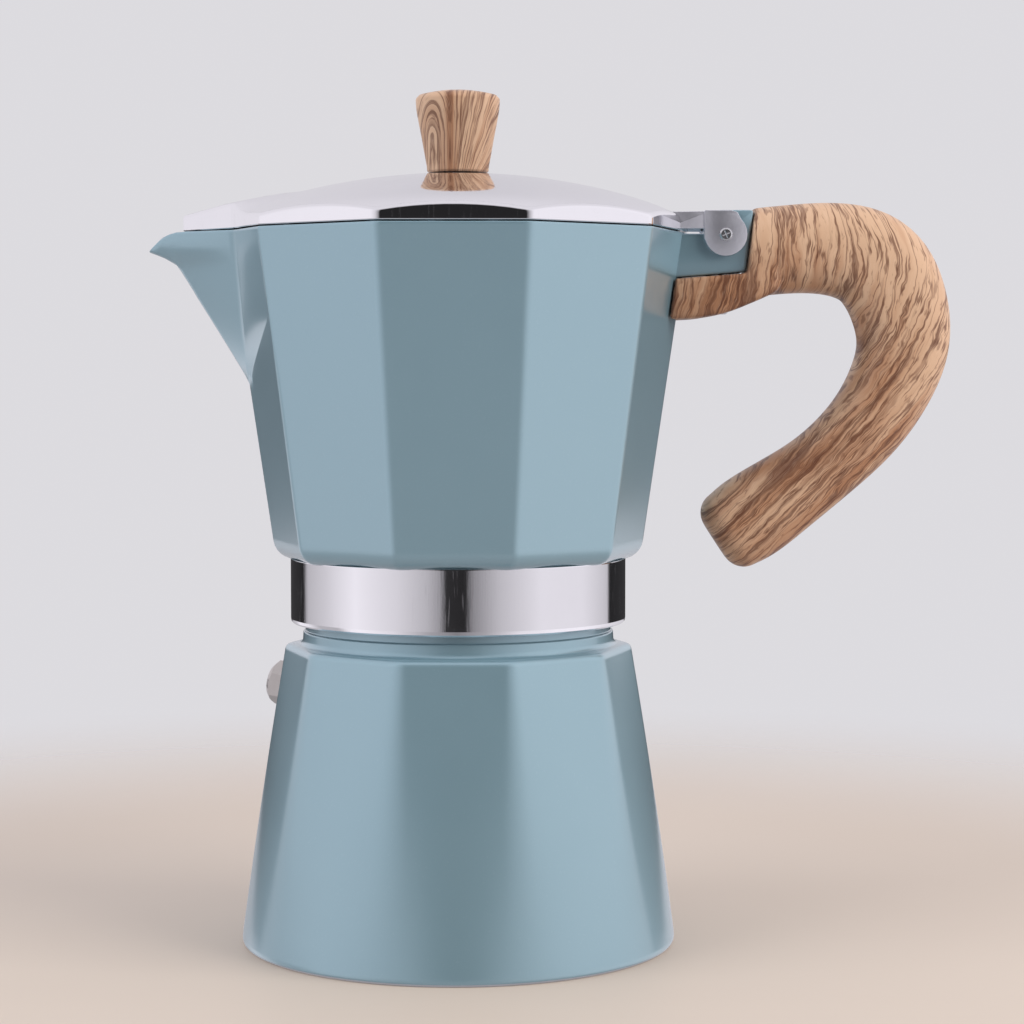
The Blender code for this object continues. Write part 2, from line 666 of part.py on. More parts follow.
def make_upper_chamber(finish):
    wall_rings = [
        facet_outline(COLLAR_RADIUS + 0.0003, CHAMBER_BOTTOM),
        facet_outline(CHAMBER_FOOT_RADIUS - 0.0016, CHAMBER_BOTTOM + 0.0005),
        facet_outline(CHAMBER_FOOT_RADIUS - 0.0005, CHAMBER_BOTTOM + 0.0016),
        facet_outline(chamber_corner_radius(CHAMBER_BOTTOM + 0.0035), CHAMBER_BOTTOM + 0.0035),
        facet_outline(CHAMBER_RIM_RADIUS, RIM_Z),
    ]
    chamber = add_node("upper_chamber", loft("upper_chamber", wall_rings), finish)

    floor_middle = (CHAMBER_BOTTOM + CHAMBER_FLOOR_Z) / 2
    collar_rings = [circle(COLLAR_RADIUS, COLLAR_BOTTOM), circle(COLLAR_RADIUS, floor_middle)]
    combine(chamber, "UNION", add_helper("collar", loft("collar", collar_rings)))
    combine(chamber, "UNION", add_helper("spout", spout_outside()))
    lug = slab("lug", lug_outline(), -LUG_HALF_WIDTH, LUG_HALF_WIDTH)
    combine(chamber, "UNION", add_helper("lug", lug))

    corner_wall = CHAMBER_WALL / math.cos(HALF_FACET)
    fillet = CHAMBER_FLOOR_Z + 0.0024
    above = RIM_Z + 0.0015
    hollow_rings = [
        facet_outline(chamber_corner_radius(fillet) - corner_wall - 0.0026, CHAMBER_FLOOR_Z),
        facet_outline(chamber_corner_radius(fillet) - corner_wall, fillet),
        facet_outline(chamber_corner_radius(above) - corner_wall, above),
    ]
    combine(chamber, "DIFFERENCE", add_helper("chamber_hollow", loft("chamber_hollow", hollow_rings)))
    combine(chamber, "DIFFERENCE", add_helper("spout_hollow", spout_hollow()))

    bore_profile = [
        (COLLAR_BORE, COLLAR_BOTTOM - 0.001),
        (COLLAR_BORE, NECK_TOP + 0.0007),
        (SEAT_RADIUS, NECK_TOP + 0.0008),
        (SEAT_RADIUS, SEAT_TOP),
    ]
    combine(chamber, "DIFFERENCE", add_helper("collar_bore", turned_solid("collar_bore", bore_profile, RING)))
    thread_start = COLLAR_BOTTOM + THREAD_ROOT_WIDTH / 2 + 0.0003
    rise = thread_start - NECK_THREAD_START + THREAD_PITCH / 2
    turn_start = 2 * math.pi * rise / THREAD_PITCH
    thread = helical_ridge(
        "collar_thread", COLLAR_BORE, -(COLLAR_BORE - NECK_RADIUS - THREAD_CLEARANCE), turn_start, thread_start
    )
    combine(chamber, "UNION", add_helper("collar_thread", thread))

    riser_hole = rod("riser_hole", (0, 0, SEAT_TOP - 0.001), (0, 0, COLUMN_BOTTOM + 0.001), COLUMN_BORE)
    combine(chamber, "DIFFERENCE", add_helper("riser_hole", riser_hole))
    reach = LUG_HALF_WIDTH + 0.002
    pin_hole = rod("pin_hole", (PIN_X, -reach, PIN_Z), (PIN_X, reach, PIN_Z), PIN_HOLE)
    combine(chamber, "DIFFERENCE", add_helper("pin_hole", pin_hole))
    screw_x = CHAMBER_RIM_RADIUS + HANDLE_SCREW_X
    screw_hole = rod(
        "handle_screw_hole", (screw_x, 0, LUG_BOTTOM - 0.002), (screw_x, 0, LUG_BOTTOM + 0.0062), SCREW_HOLE
    )
    combine(chamber, "DIFFERENCE", add_helper("handle_screw_hole", screw_hole))
    return chamber


def make_riser_column(finish):
    profile = [
        (COLUMN_FOOT_RADIUS, COLUMN_BOTTOM),
        (COLUMN_FOOT_RADIUS - 0.0008, COLUMN_BOTTOM + 0.0020),
        (COLUMN_RADIUS + 0.0008, COLUMN_BOTTOM + 0.0080),
        (COLUMN_RADIUS, COLUMN_TOP),
        (COLUMN_BORE, COLUMN_TOP),
        (COLUMN_BORE, COLUMN_BOTTOM),
    ]
    return add_node("riser_column", turned("riser_column", profile, 24), finish)


def make_column_cap(finish):
    """A small cap over the column, with outlets around its side."""
    inner = COLUMN_RADIUS + GAP
    outer = inner + 0.0008
    skirt = COLUMN_TOP - 0.0030
    top = COLUMN_TOP + CAP_HEIGHT - 0.0030
    rings = [
        circle(inner, skirt, 24),
        circle(outer, skirt, 24),
        circle(outer, top - 0.0012, 24),
        circle(outer * 0.72, top, 24),
    ]
    cap = add_node("column_cap", loft("column_cap", rings), finish)
    inside = turned_solid(
        "cap_inside",
        [(inner, skirt - 0.001), (inner, top - 0.0019), (outer * 0.66, top - 0.0009)], 24,
    )
    combine(cap, "DIFFERENCE", add_helper("cap_inside", inside))
    outlet_z = COLUMN_TOP + 0.0013
    for i in range(2):
        turn = Matrix.Rotation(i * math.pi / 2, 3, "Z")
        ends = [turn @ Vector((0, side * (outer + 0.002), outlet_z)) for side in (-1, 1)]
        name = f"cap_outlet_{i + 1}"
        combine(cap, "DIFFERENCE", add_helper(name, rod(name, *ends, 0.0011, 8)))
    return cap


# ---- Lid ----

def dome_height(radius):
    """Height of the lid's outer face at a distance from the axis: an arc that falls away at its edge."""
    arc_radius = (CHAMBER_RIM_RADIUS ** 2 + LID_DOME ** 2) / (2 * LID_DOME)
    drop = arc_radius - math.sqrt(arc_radius ** 2 - radius ** 2)
    return LID_TOP - drop * (1 + LID_EDGE_FALL * (radius / CHAMBER_RIM_RADIUS) ** 8)


def dome_ring(corner_radius, share, below=0.0):
    """A ring on the dome, ten-sided at the edge and round at the centre, this far below the outer face."""
    ring = facet_outline(corner_radius * share, 0, 1 - share, RING)
    return [Vector((p.x, p.y, dome_height(math.hypot(p.x, p.y)) - below)) for p in ring]


def beak_slab(name, inset, low, top_offset):
    """The lid's beak over the spout, as a block whose top slopes down to its end."""
    root_x = -CHAMBER_RIM_RADIUS * math.cos(2 * HALF_FACET) + inset
    shoulder_x = -CHAMBER_RIM_RADIUS + SPOUT_SHOULDER_Y * math.tan(HALF_FACET) - 0.0018 + inset
    end_x = -CHAMBER_RIM_RADIUS - BEAK_REACH + inset
    root_y = CHAMBER_RIM_RADIUS * math.sin(2 * HALF_FACET) * 0.90 - inset
    plan = [
        (root_x, -root_y),
        (shoulder_x, -(SPOUT_SHOULDER_Y - 0.001 - inset)),
        (end_x, -(BEAK_END_HALF_WIDTH - inset)),
    ]
    heights = [dome_height(math.hypot(root_x, root_y)), LID_CREASE + BEAK_RISE, LID_CREASE + GAP]
    plan += [(x, -y) for x, y in reversed(plan)]
    heights += reversed(heights)
    tops = [Vector((x, y, height - top_offset)) for (x, y), height in zip(plan, heights)]
    return loft(name, [[Vector((x, y, low)) for x, y in plan], tops])


def ear_outline():
    """Hinge arm and ear from the side: round below the pin, flat along the top, eased towards the handle."""
    top = PIN_Z + EAR_RISE
    arm_bottom = RIM_Z + 2 * GAP
    start = math.degrees(math.asin((arm_bottom - PIN_Z) / EAR_RADIUS))
    outline = [(ARM_ROOT, arm_bottom)]
    outline += arc(PIN_X, PIN_Z, EAR_RADIUS, 180 - start, 360 + 50, 14)
    outline += arc(PIN_X, PIN_Z, (EAR_RADIUS + EAR_RISE) / 2, 66, 78, 1)
    outline += [(PIN_X, top), (ARM_ROOT, top - GAP)]
    return outline


def make_lid(finish):
    rim = CHAMBER_RIM_RADIUS - 0.0001
    shares = (1.0, 0.86, 0.70, 0.52, 0.34, 0.18)
    rings = [facet_outline(rim - 0.0003, LID_BOTTOM, 0, RING)]
    rings += [dome_ring(rim, share) for share in shares]
    rings += [circle(SCREW_HOLE, LID_TOP), circle(SCREW_HOLE, LID_TOP - LID_SHEET)]
    inner_rim = rim - LID_SHEET / math.cos(HALF_FACET)
    rings += [dome_ring(inner_rim, share, LID_SHEET) for share in reversed(shares)]
    rings.append(facet_outline(inner_rim - 0.0003, LID_BOTTOM, 0, RING))
    lid = add_node("lid", loft("lid", rings, closed=True), finish)
    combine(lid, "UNION", add_helper("beak", beak_slab("beak", 0.0, LID_BOTTOM, 0.0)))
    hollow = beak_slab("beak_hollow", LID_SHEET, LID_BOTTOM - 0.001, LID_SHEET)
    combine(lid, "DIFFERENCE", add_helper("beak_hollow", hollow))
    for side in (-1, 1):
        name = "near_ear" if side < 0 else "far_ear"
        ear = slab(name, ear_outline(), side * EAR_INSIDE, side * EAR_OUTSIDE)
        combine(lid, "UNION", add_helper(name, ear))
    reach = EAR_OUTSIDE + 0.002
    holes = rod("ear_holes", (PIN_X, -reach, PIN_Z), (PIN_X, reach, PIN_Z), PIN_HOLE)
    combine(lid, "DIFFERENCE", add_helper("ear_holes", holes))
    return lid


def make_hinge_pin(finish):
    end = EAR_OUTSIDE + 0.0004
    mesh = rod("hinge_pin", (PIN_X, -end, PIN_Z), (PIN_X, end, PIN_Z), PIN_RADIUS)
    return add_node("hinge_pin", mesh, finish)


# ---- Knob ----

def make_knob(finish):
    top = KNOB_BOTTOM + KNOB_HEIGHT
    bore = SCREW_HOLE + INSERT_WALL + GAP
    bore_top = KNOB_BOTTOM + GAP + INSERT_LENGTH + GAP
    swell = KNOB_TOP_RADIUS - KNOB_FOOT_RADIUS
    profile = [(KNOB_FOOT_RADIUS, KNOB_BOTTOM)]
    for i in range(1, 7):
        rise = i / 6
        radius = KNOB_FOOT_RADIUS - 0.0001 + swell * math.sin(rise * math.pi / 2) ** 1.25
        profile.append((radius, KNOB_BOTTOM + (KNOB_HEIGHT - 0.0026) * rise))
    profile += [
        (KNOB_TOP_RADIUS - 0.0003, top - 0.0012),
        (KNOB_TOP_RADIUS - 0.0012, top - 0.0003),
        (KNOB_TOP_RADIUS * 0.6, top),
    ]
    knob = add_node("knob", turned_solid("knob", profile, 32), finish)
    cutter = rod("knob_bore", (0, 0, KNOB_BOTTOM - 0.002), (0, 0, bore_top), bore)
    combine(knob, "DIFFERENCE", add_helper("knob_bore", cutter))
    return knob


def make_knob_insert(finish):
    low = KNOB_BOTTOM + GAP
    high = low + INSERT_LENGTH
    outer = SCREW_HOLE + INSERT_WALL
    profile = [(outer, low), (outer, high), (SCREW_HOLE, high), (SCREW_HOLE, low)]
    return add_node("knob_insert", turned("knob_insert", profile, SMALL_RING), finish)


WASHER_TOP = LID_TOP - LID_SHEET - 2 * GAP
WASHER_BOTTOM = WASHER_TOP - 0.0007


def make_knob_washer(finish):
    outer = SCREW_HOLE + 0.0023
    profile = [
        (outer, WASHER_BOTTOM), (outer, WASHER_TOP), (SCREW_HOLE, WASHER_TOP), (SCREW_HOLE, WASHER_BOTTOM),
    ]
    return add_node("knob_washer", turned("knob_washer", profile, 24), finish)


def screw_mesh(name, head_bottom, head_top, tip):
    """A pan-head screw along Z: the head below, the shank upwards."""
    profile = [
        (SCREW_HEAD_RADIUS * 0.75, head_bottom),
        (SCREW_HEAD_RADIUS, head_bottom + 0.0007),
        (SCREW_HEAD_RADIUS, head_top),
        (SCREW_RADIUS, head_top),
        (SCREW_RADIUS, tip - 0.0005),
        (SCREW_RADIUS * 0.7, tip),
    ]
    return turned_solid(name, profile)


def make_knob_screw(finish):
    head_top = WASHER_BOTTOM - GAP
    tip = KNOB_BOTTOM + INSERT_LENGTH - 0.0006
    return add_node("knob_screw", screw_mesh("knob_screw", head_top - 0.0020, head_top, tip), finish)


# ---- Handle ----

HANDLE_TOP_CORNER = LUG_END + GAP
LIP_TOP = LUG_BOTTOM - GAP
HANDLE_STATIONS = (  # centre beyond the lug's end, centre above the rim, half thickness
    (0.0000, -0.0046, 0.0100),
    (0.0093, -0.0035, 0.0100),
    (0.0200, -0.0035, 0.0106),
    (0.0298, -0.0077, 0.0120),
    (0.0353, -0.0223, 0.0107),
    (0.0333, -0.0317, 0.0099),
    (0.0268, -0.0432, 0.0091),
    (0.0163, -0.0534, 0.0086),
    (0.0076, -0.0596, 0.0094),
    (-0.0027, -0.0668, 0.0104),
    (-0.0064, -0.0691, 0.0088),
)


def smooth_path(points, steps):
    """A Catmull-Rom curve through the points, with this many steps between each two."""
    ends = [2 * points[0] - points[1]] + points + [2 * points[-1] - points[-2]]
    path = []
    for before, start, end, after in zip(ends, ends[1:], ends[2:], ends[3:]):
        for i in range(steps):
            t = i / steps
            path.append(0.5 * (
                2 * start + (end - before) * t
                + (2 * before - 5 * start + 4 * end - after) * t ** 2
                + (3 * start - before - 3 * end + after) * t ** 3
            ))
    return path + [points[-1]]


def handle_sweep():
    stations = [Vector((LUG_END + x, RIM_Z + z, half)) for x, z, half in HANDLE_STATIONS]
    path = smooth_path(stations, 2)
    rings = []
    for i, point in enumerate(path):
        before, after = path[max(i - 1, 0)], path[min(i + 1, len(path) - 1)]
        along = Vector((after.x - before.x, 0, after.y - before.y)).normalized()
        up = Vector((-along.z, 0, along.x))
        centre = Vector((point.x, 0, point.y))
        ring = []
        for k in range(12):
            angle = 2 * math.pi * k / 12
            high = math.copysign(abs(math.sin(angle)) ** 0.8, math.sin(angle))
            wide = math.copysign(abs(math.cos(angle)) ** 0.8, math.cos(angle))
            ring.append(centre + up * high * point.z + Vector((0, wide * HANDLE_HALF_WIDTH, 0)))
        rings.append(ring)
    return loft("handle", rings)


def lip_outline():
    """The lip under the hinge lug, from the chamber's wall to where it runs into the handle."""
    inner = CHAMBER_RIM_RADIUS * 0.86
    bottom = LIP_TOP - LIP_DEPTH
    return [
        (inner, bottom + 0.0002),
        (LUG_END - 0.0130, bottom + 0.0006),
        (LUG_END - 0.0060, bottom + 0.0018),
        (LUG_END + 0.0012, bottom + 0.0048),
        (LUG_END + 0.0060, bottom + 0.0070),
        (LUG_END + 0.0060, RIM_Z - 0.0060),
        (inner, RIM_Z - 0.0060),
    ]


def notch_outline():
    """What the handle leaves free: the lug, the lid's arms and everything above them."""
    far_left = CHAMBER_RIM_RADIUS * 0.5
    far_top = LUG_TOP + 0.02
    return [(far_left, LIP_TOP)] + lug_underside(GAP) + [
        (HANDLE_TOP_CORNER, LUG_TOP + 0.0001),
        (HANDLE_TOP_CORNER, far_top),
        (far_left, far_top),
    ]


def make_handle(finish):
    handle = add_node("handle", handle_sweep(), finish)
    lip = add_helper("lip", slab("lip", lip_outline(), -HANDLE_HALF_WIDTH + 0.0002, HANDLE_HALF_WIDTH - 0.0002))
    combine(handle, "UNION", lip)
    reach = HANDLE_HALF_WIDTH + 0.005
    combine(handle, "DIFFERENCE", add_helper("notch", slab("notch", notch_outline(), -reach, reach)))
    spare = GAP / math.cos(HALF_FACET) + 0.0001
    wall_rings = [
        facet_outline(chamber_corner_radius(z) + spare, z) for z in (CHAMBER_BOTTOM + 0.004, RIM_Z + 0.002)
    ]
    combine(handle, "DIFFERENCE", add_helper("wall_seat", loft("wall_seat", wall_rings)))
    x = CHAMBER_RIM_RADIUS + HANDLE_SCREW_X
    counterbore_top = LIP_TOP - COUNTERBORE_ROOF
    counterbore = rod(
        "counterbore", (x, 0, LIP_TOP - LIP_DEPTH - 0.002), (x, 0, counterbore_top), SCREW_HEAD_RADIUS + GAP
    )
    combine(handle, "DIFFERENCE", add_helper("counterbore", counterbore))
    shank_hole = rod("shank_hole", (x, 0, counterbore_top - 0.001), (x, 0, LIP_TOP + 0.003), SCREW_HOLE)
    combine(handle, "DIFFERENCE", add_helper("shank_hole", shank_hole))
    return handle


HANDLE_WASHER_TOP = LIP_TOP - COUNTERBORE_ROOF - GAP
HANDLE_WASHER_BOTTOM = HANDLE_WASHER_TOP - 0.0006


def make_handle_washer(finish):
    low, high = HANDLE_WASHER_BOTTOM, HANDLE_WASHER_TOP
    profile = [(SCREW_HEAD_RADIUS, low), (SCREW_HEAD_RADIUS, high), (SCREW_HOLE, high), (SCREW_HOLE, low)]
    washer = add_node("handle_washer", turned("handle_washer", profile, SMALL_RING), finish)
    washer.location.x = CHAMBER_RIM_RADIUS + HANDLE_SCREW_X
    return washer


def make_handle_screw(finish):
    head_top = HANDLE_WASHER_BOTTOM - GAP
    mesh = screw_mesh("handle_screw", head_top - 0.0018, head_top, LUG_BOTTOM + 0.0056)
    screw = add_node("handle_screw", mesh, finish)
    screw.location.x = CHAMBER_RIM_RADIUS + HANDLE_SCREW_X
    return screw


def build():
    clear_scene()
    painted = material("painted_aluminium", (0.30, 0.44, 0.49), 0.28, 0.0)
    polished = material("polished_aluminium", (0.80, 0.79, 0.82), 0.12, 1.0)
    cast = material("bare_aluminium", (0.68, 0.68, 0.69), 0.40, 1.0)
    wood_print = material("wood_print", (0.52, 0.33, 0.19), 0.45, 0.0)
    brass = material("nickelled_brass", (0.62, 0.59, 0.56), 0.30, 1.0)
    steel = material("stainless_steel", (0.62, 0.62, 0.63), 0.25, 1.0)
    silicone = material("silicone", (0.85, 0.85, 0.82), 0.60, 0.0)

    make_boiler(painted)
    make_valve_body(brass)
    make_valve_washer(silicone)
    make_valve_nut(brass)
    make_valve_retainer(brass)
    make_valve_plunger(brass)
    make_valve_spring(steel)
    make_funnel(cast)
    make_funnel_stem(cast)
    make_funnel_disc(cast)
    make_gasket(silicone)
    make_filter_plate(cast)
    make_upper_chamber(painted)
    make_riser_column(cast)
    make_column_cap(steel)
    make_lid(polished)
    make_hinge_pin(steel)
    make_knob(wood_print)
    make_knob_insert(brass)
    make_knob_washer(steel)
    make_knob_screw(steel)
    make_handle(wood_print)
    make_handle_washer(steel)
    make_handle_screw(steel)
    bpy.context.view_layer.update()


build()
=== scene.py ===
"""A stovetop moka pot and the plain studio it stands in. Metres, +Z up, in the CAD model's own frame."""

import math

import bmesh
import bpy
import numpy as np
from mathutils import Matrix, Vector


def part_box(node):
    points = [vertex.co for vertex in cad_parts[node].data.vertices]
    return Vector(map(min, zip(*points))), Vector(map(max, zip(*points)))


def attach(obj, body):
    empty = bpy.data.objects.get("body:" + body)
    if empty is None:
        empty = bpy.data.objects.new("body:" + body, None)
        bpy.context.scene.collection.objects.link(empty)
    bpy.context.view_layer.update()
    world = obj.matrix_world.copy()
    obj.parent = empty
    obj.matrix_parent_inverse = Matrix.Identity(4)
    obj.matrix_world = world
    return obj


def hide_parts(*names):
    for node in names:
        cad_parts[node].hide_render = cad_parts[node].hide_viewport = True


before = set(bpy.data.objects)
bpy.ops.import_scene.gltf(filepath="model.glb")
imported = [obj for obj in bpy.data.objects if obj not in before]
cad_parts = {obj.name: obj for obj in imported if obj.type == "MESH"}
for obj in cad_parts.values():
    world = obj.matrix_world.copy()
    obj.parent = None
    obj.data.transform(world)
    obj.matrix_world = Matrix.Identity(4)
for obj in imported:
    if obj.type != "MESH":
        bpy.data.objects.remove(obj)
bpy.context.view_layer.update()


# ---- Studio ---------------------------------------------------------------------------------------
# A pale table top that fades out, and a tent of soft light: two long light boxes beside the pot, a
# dark gap between them where the camera looks in, and a bright wall behind. Not part of the pot.

class Wire:
    """A node socket that takes part in sums. node() adds any other node: its settings, then its sockets."""

    def __init__(self, tree, socket=None):
        self.tree = tree
        self.socket = socket

    def plug(self, socket, value):
        if isinstance(value, Wire):
            self.tree.links.new(value.socket, socket)
        else:
            socket.default_value = value

    def node(self, kind, settings=(), sockets=(), output=0):
        made = self.tree.nodes.new(kind)
        for name, value in dict(settings).items():
            if name != "stops":
                setattr(made, name, value)
                continue
            stops = made.color_ramp.elements
            while len(stops) < len(value):
                stops.new(1.0)
            for stop, (place, shade) in zip(stops, value):
                stop.position = place
                stop.color = (shade, shade, shade, 1)
        for name, value in dict(sockets).items():
            self.plug(made.inputs[name], value)
        return Wire(self.tree, made.outputs[output])

    def maths(self, operation, *values):
        return self.node("ShaderNodeMath", {"operation": operation}, enumerate(values))

    def __add__(self, other):
        return self.maths("ADD", self, other)

    def __radd__(self, other):
        return self.maths("ADD", other, self)

    def __sub__(self, other):
        return self.maths("SUBTRACT", self, other)

    def __rsub__(self, other):
        return self.maths("SUBTRACT", other, self)

    def __mul__(self, other):
        return self.maths("MULTIPLY", self, other)

    def __rmul__(self, other):
        return self.maths("MULTIPLY", other, self)

    def __truediv__(self, other):
        return self.maths("DIVIDE", self, other)

    def __rtruediv__(self, other):
        return self.maths("DIVIDE", other, self)

    def coordinates(self):
        """Each point's place on its object, in metres."""
        return self.node("ShaderNodeTexCoord", output="Object")

    def eased(self, low, high):
        """0 below low, 1 above high, with a soft step between."""
        sockets = {"Value": self, "From Min": low, "From Max": high}
        return self.node("ShaderNodeMapRange", {"interpolation_type": "SMOOTHSTEP"}, sockets)

    def blend(self, share, first, second):
        """A colour between two others."""
        return self.node("ShaderNodeMix", {"data_type": "RGBA"}, {0: share, 6: first, 7: second}, 2)

    def stretched(self, x, y, z):
        """A vector scaled along each axis."""
        return self.node("ShaderNodeVectorMath", {"operation": "MULTIPLY"}, {0: self, 1: (x, y, z)})

    def axes(self):
        """The three parts of a vector."""
        return [self.node("ShaderNodeSeparateXYZ", {}, {0: self}, letter) for letter in "XYZ"]

    def noise(self, scale, detail=2.0, roughness=0.5):
        """Cloudy noise between 0 and 1 at these coordinates."""
        sockets = {"Vector": self, "Scale": scale, "Detail": detail, "Roughness": roughness}
        return self.node("ShaderNodeTexNoise", {}, sockets)

    def bump(self, depth, strength=1.0):
        """A normal raised by this height, with depth metres between 0 and 1."""
        return self.node("ShaderNodeBump", {}, {"Strength": strength, "Distance": depth, "Height": self})


world = bpy.data.worlds.new("studio")
bpy.context.scene.world = world
world.use_nodes = True
sky = Wire(world.node_tree)
right, away, up = sky.node("ShaderNodeTexCoord", output="Generated").axes()
turn = sky.maths("ARCTAN2", right, 0 - away) / (2 * math.pi) + 0.5


def tent(*stops):
    """Brightness all round, from (degrees from the front, brightness) stops."""
    return [((degrees + 180) / 360, brightness) for degrees, brightness in stops]


floor_light = sky.node("ShaderNodeValToRGB", {"stops": tent(
    (-180, 0.50), (-158, 0.50), (-148, 0.62), (-140, 0.95), (-125, 0.90), (-110, 0.50), (-90, 0.50),
    (-80, 0.95), (-70, 1.0), (-45, 0.80), (-20, 0.42), (0, 0.24), (20, 0.42), (45, 0.85), (72, 1.0),
    (100, 1.0), (125, 0.85), (144, 0.75), (180, 0.60),
)}, {"Fac": turn})
low_light = sky.node("ShaderNodeValToRGB", {"stops": tent(
    (-180, 0.35), (-173, 0.05), (-130, 0.02), (-124, 0.52), (-102, 0.66), (-73, 0.94), (-41, 0.74),
    (-20, 0.52), (-11, 0.34), (-7, 0.03), (6, 0.02), (11, 0.28), (29, 0.56), (59, 0.84), (95, 0.82),
    (118, 0.64), (124, 0.58), (127, 0.02), (172, 0.04), (180, 0.35),
)}, {"Fac": turn})
high_light = sky.node("ShaderNodeValToRGB", {"stops": tent(
    (-180, 0.66), (-150, 0.82), (-124, 0.86), (-102, 0.85), (-73, 0.96), (-41, 0.74), (-20, 0.40),
    (-10, 0.02), (10, 0.02), (29, 0.50), (59, 0.92), (95, 1.0), (118, 0.92), (150, 0.84), (180, 0.66),
)}, {"Fac": turn})
tent_light = sky.blend(up.eased(-0.140, -0.112), floor_light, low_light)
tent_light = sky.blend(up.eased(-0.02, 0.04), tent_light, high_light)
tent_light = sky.blend(up.eased(-0.58, -0.42), (0.47, 0.47, 0.47, 1), tent_light)
tent_light = sky.blend(up.eased(0.55, 0.85), tent_light, (0.80, 0.80, 0.80, 1))
tinted = sky.node("ShaderNodeMix", {"data_type": "RGBA", "blend_type": "MULTIPLY"}, {
    0: 1.0, 6: tent_light, 7: (0.99, 0.965, 1.03, 1),
}, 2)
seen = sky.node("ShaderNodeBackground", {}, {"Color": (0.72, 0.71, 0.74, 1), "Strength": 1.0})
lit = sky.node("ShaderNodeBackground", {}, {"Color": tinted, "Strength": 1.0})
direct = sky.node("ShaderNodeLightPath", output="Is Camera Ray")
backdrop = sky.node("ShaderNodeMixShader", {}, {0: direct, 1: lit, 2: seen})
sky.plug(world.node_tree.nodes["World Output"].inputs["Surface"], backdrop)

for side, energy, tint in ((-1, 4.7, (0.95, 0.98, 1.0)), (1, 7.4, (1.0, 0.97, 0.92))):
    glow = bpy.data.lights.new("side_light", "AREA")
    glow.energy = energy
    glow.color = tint
    glow.size = 0.7
    lamp = bpy.data.objects.new("side_light", glow)
    lamp.location = (0.78 * side, -0.45, 0.55)
    lamp.rotation_euler = Vector((0.78 * side, -0.45, 0.45)).to_track_quat("Z", "Y").to_euler()
    lamp.visible_glossy = False
    bpy.context.scene.collection.objects.link(lamp)

lens = bpy.data.cameras.new("camera")
lens.lens = 90.43
lens.sensor_width = 36
camera = bpy.data.objects.new("camera", lens)
camera.location = (0.01233, -0.58936, 0.13083)
camera.rotation_euler = (math.radians(86.866), 0, 0)
bpy.context.scene.collection.objects.link(camera)
bpy.context.scene.camera = camera
bpy.context.scene.view_settings.view_transform = "Standard"


def new_finish(name, constants):
    """A new material: itself, its Principled shader with these constants, and a Wire to build from."""
    made = bpy.data.materials.new(name)
    made.use_nodes = True
    shader = made.node_tree.nodes["Principled BSDF"]
    for socket, value in constants.items():
        shader.inputs[socket].default_value = value
    return made, shader, Wire(made.node_tree)


SHARP = math.radians(32)  # an edge that turns more than this is shaded as a crease


def keep_mesh(name, bm, *finishes):
    """Merges a shape, turns its faces outwards and makes it an object with these materials."""
    bmesh.ops.remove_doubles(bm, verts=bm.verts, dist=1e-7)
    bmesh.ops.recalc_face_normals(bm, faces=bm.faces)
    if bm.calc_volume(signed=True) < 0:
        bmesh.ops.reverse_faces(bm, faces=bm.faces)
    mesh = bpy.data.meshes.new(name)
    bm.to_mesh(mesh)
    bm.free()
    mesh.shade_smooth()
    mesh.set_sharp_from_angle(angle=SHARP)
    made = bpy.data.objects.new(name, mesh)
    bpy.context.scene.collection.objects.link(made)
    for finish in finishes:
        mesh.materials.append(finish)
    return made


table_finish, table_shader, at = new_finish("table_top", {"Roughness": 0.45, "Specular IOR Level": 0.3})
place = at.coordinates()
table_cloud = place.noise(9.0, 3.0)
table_colour = at.blend(table_cloud, (0.58, 0.49, 0.41, 1), (0.62, 0.53, 0.45, 1))
at.plug(table_shader.inputs["Base Color"], table_colour)
from_middle = at.node("ShaderNodeVectorMath", {"operation": "LENGTH"}, {0: place}, "Value")
clear = at.node("ShaderNodeBsdfTransparent")
faded = at.node("ShaderNodeMixShader", {}, {0: from_middle.eased(0.16, 0.42), 2: clear})
at.tree.links.new(table_shader.outputs[0], faded.socket.node.inputs[1])
at.plug(table_finish.node_tree.nodes["Material Output"].inputs["Surface"], faded)

top = bmesh.new()
bmesh.ops.create_circle(top, cap_ends=True, segments=96, radius=0.45)
table = keep_mesh("table_top", top, table_finish)
table.visible_glossy = False


# ---- Boiler ---------------------------------------------------------------------------------------
# The lower half: one aluminium casting, round at the foot and ten-sided at the shoulder, painted
# outside and left bare inside. A bead rings the shoulder, and the neck above it carries the thread.

paint, paint_shader, at = new_finish("grey_blue_enamel", {
    "Metallic": 0.46, "Specular IOR Level": 1.0, "Coat Weight": 1.0, "Coat Roughness": 0.13,
})
place = at.coordinates()
mottle = place.noise(55.0, 3.0)
enamel = at.blend(mottle, (0.252, 0.398, 0.466, 1), (0.268, 0.418, 0.486, 1))
fleck = place.noise(1900.0, 1.0).eased(0.62, 0.78)
enamel = at.blend(fleck * 0.10, enamel, (0.40, 0.55, 0.62, 1))
at.plug(paint_shader.inputs["Base Color"], enamel)
at.plug(paint_shader.inputs["Roughness"], 0.30 + 0.06 * mottle)
peel = place.noise(420.0, 2.0).bump(0.000012)
at.plug(paint_shader.inputs["Normal"], peel)

bare, bare_shader, at = new_finish("bare_aluminium", {"Metallic": 1.0})
place = at.coordinates()
cloud = place.noise(90.0, 4.0)
grit = place.noise(2600.0, 2.0)
at.plug(bare_shader.inputs["Base Color"], at.blend(cloud, (0.60, 0.60, 0.61, 1), (0.74, 0.74, 0.75, 1)))
at.plug(bare_shader.inputs["Roughness"], 0.30 + 0.16 * cloud + 0.10 * grit)
lathe = place.stretched(40, 40, 5200).noise(1.0, 1.0)
at.plug(bare_shader.inputs["Normal"], (0.6 * grit + 0.8 * lathe).bump(0.00002))

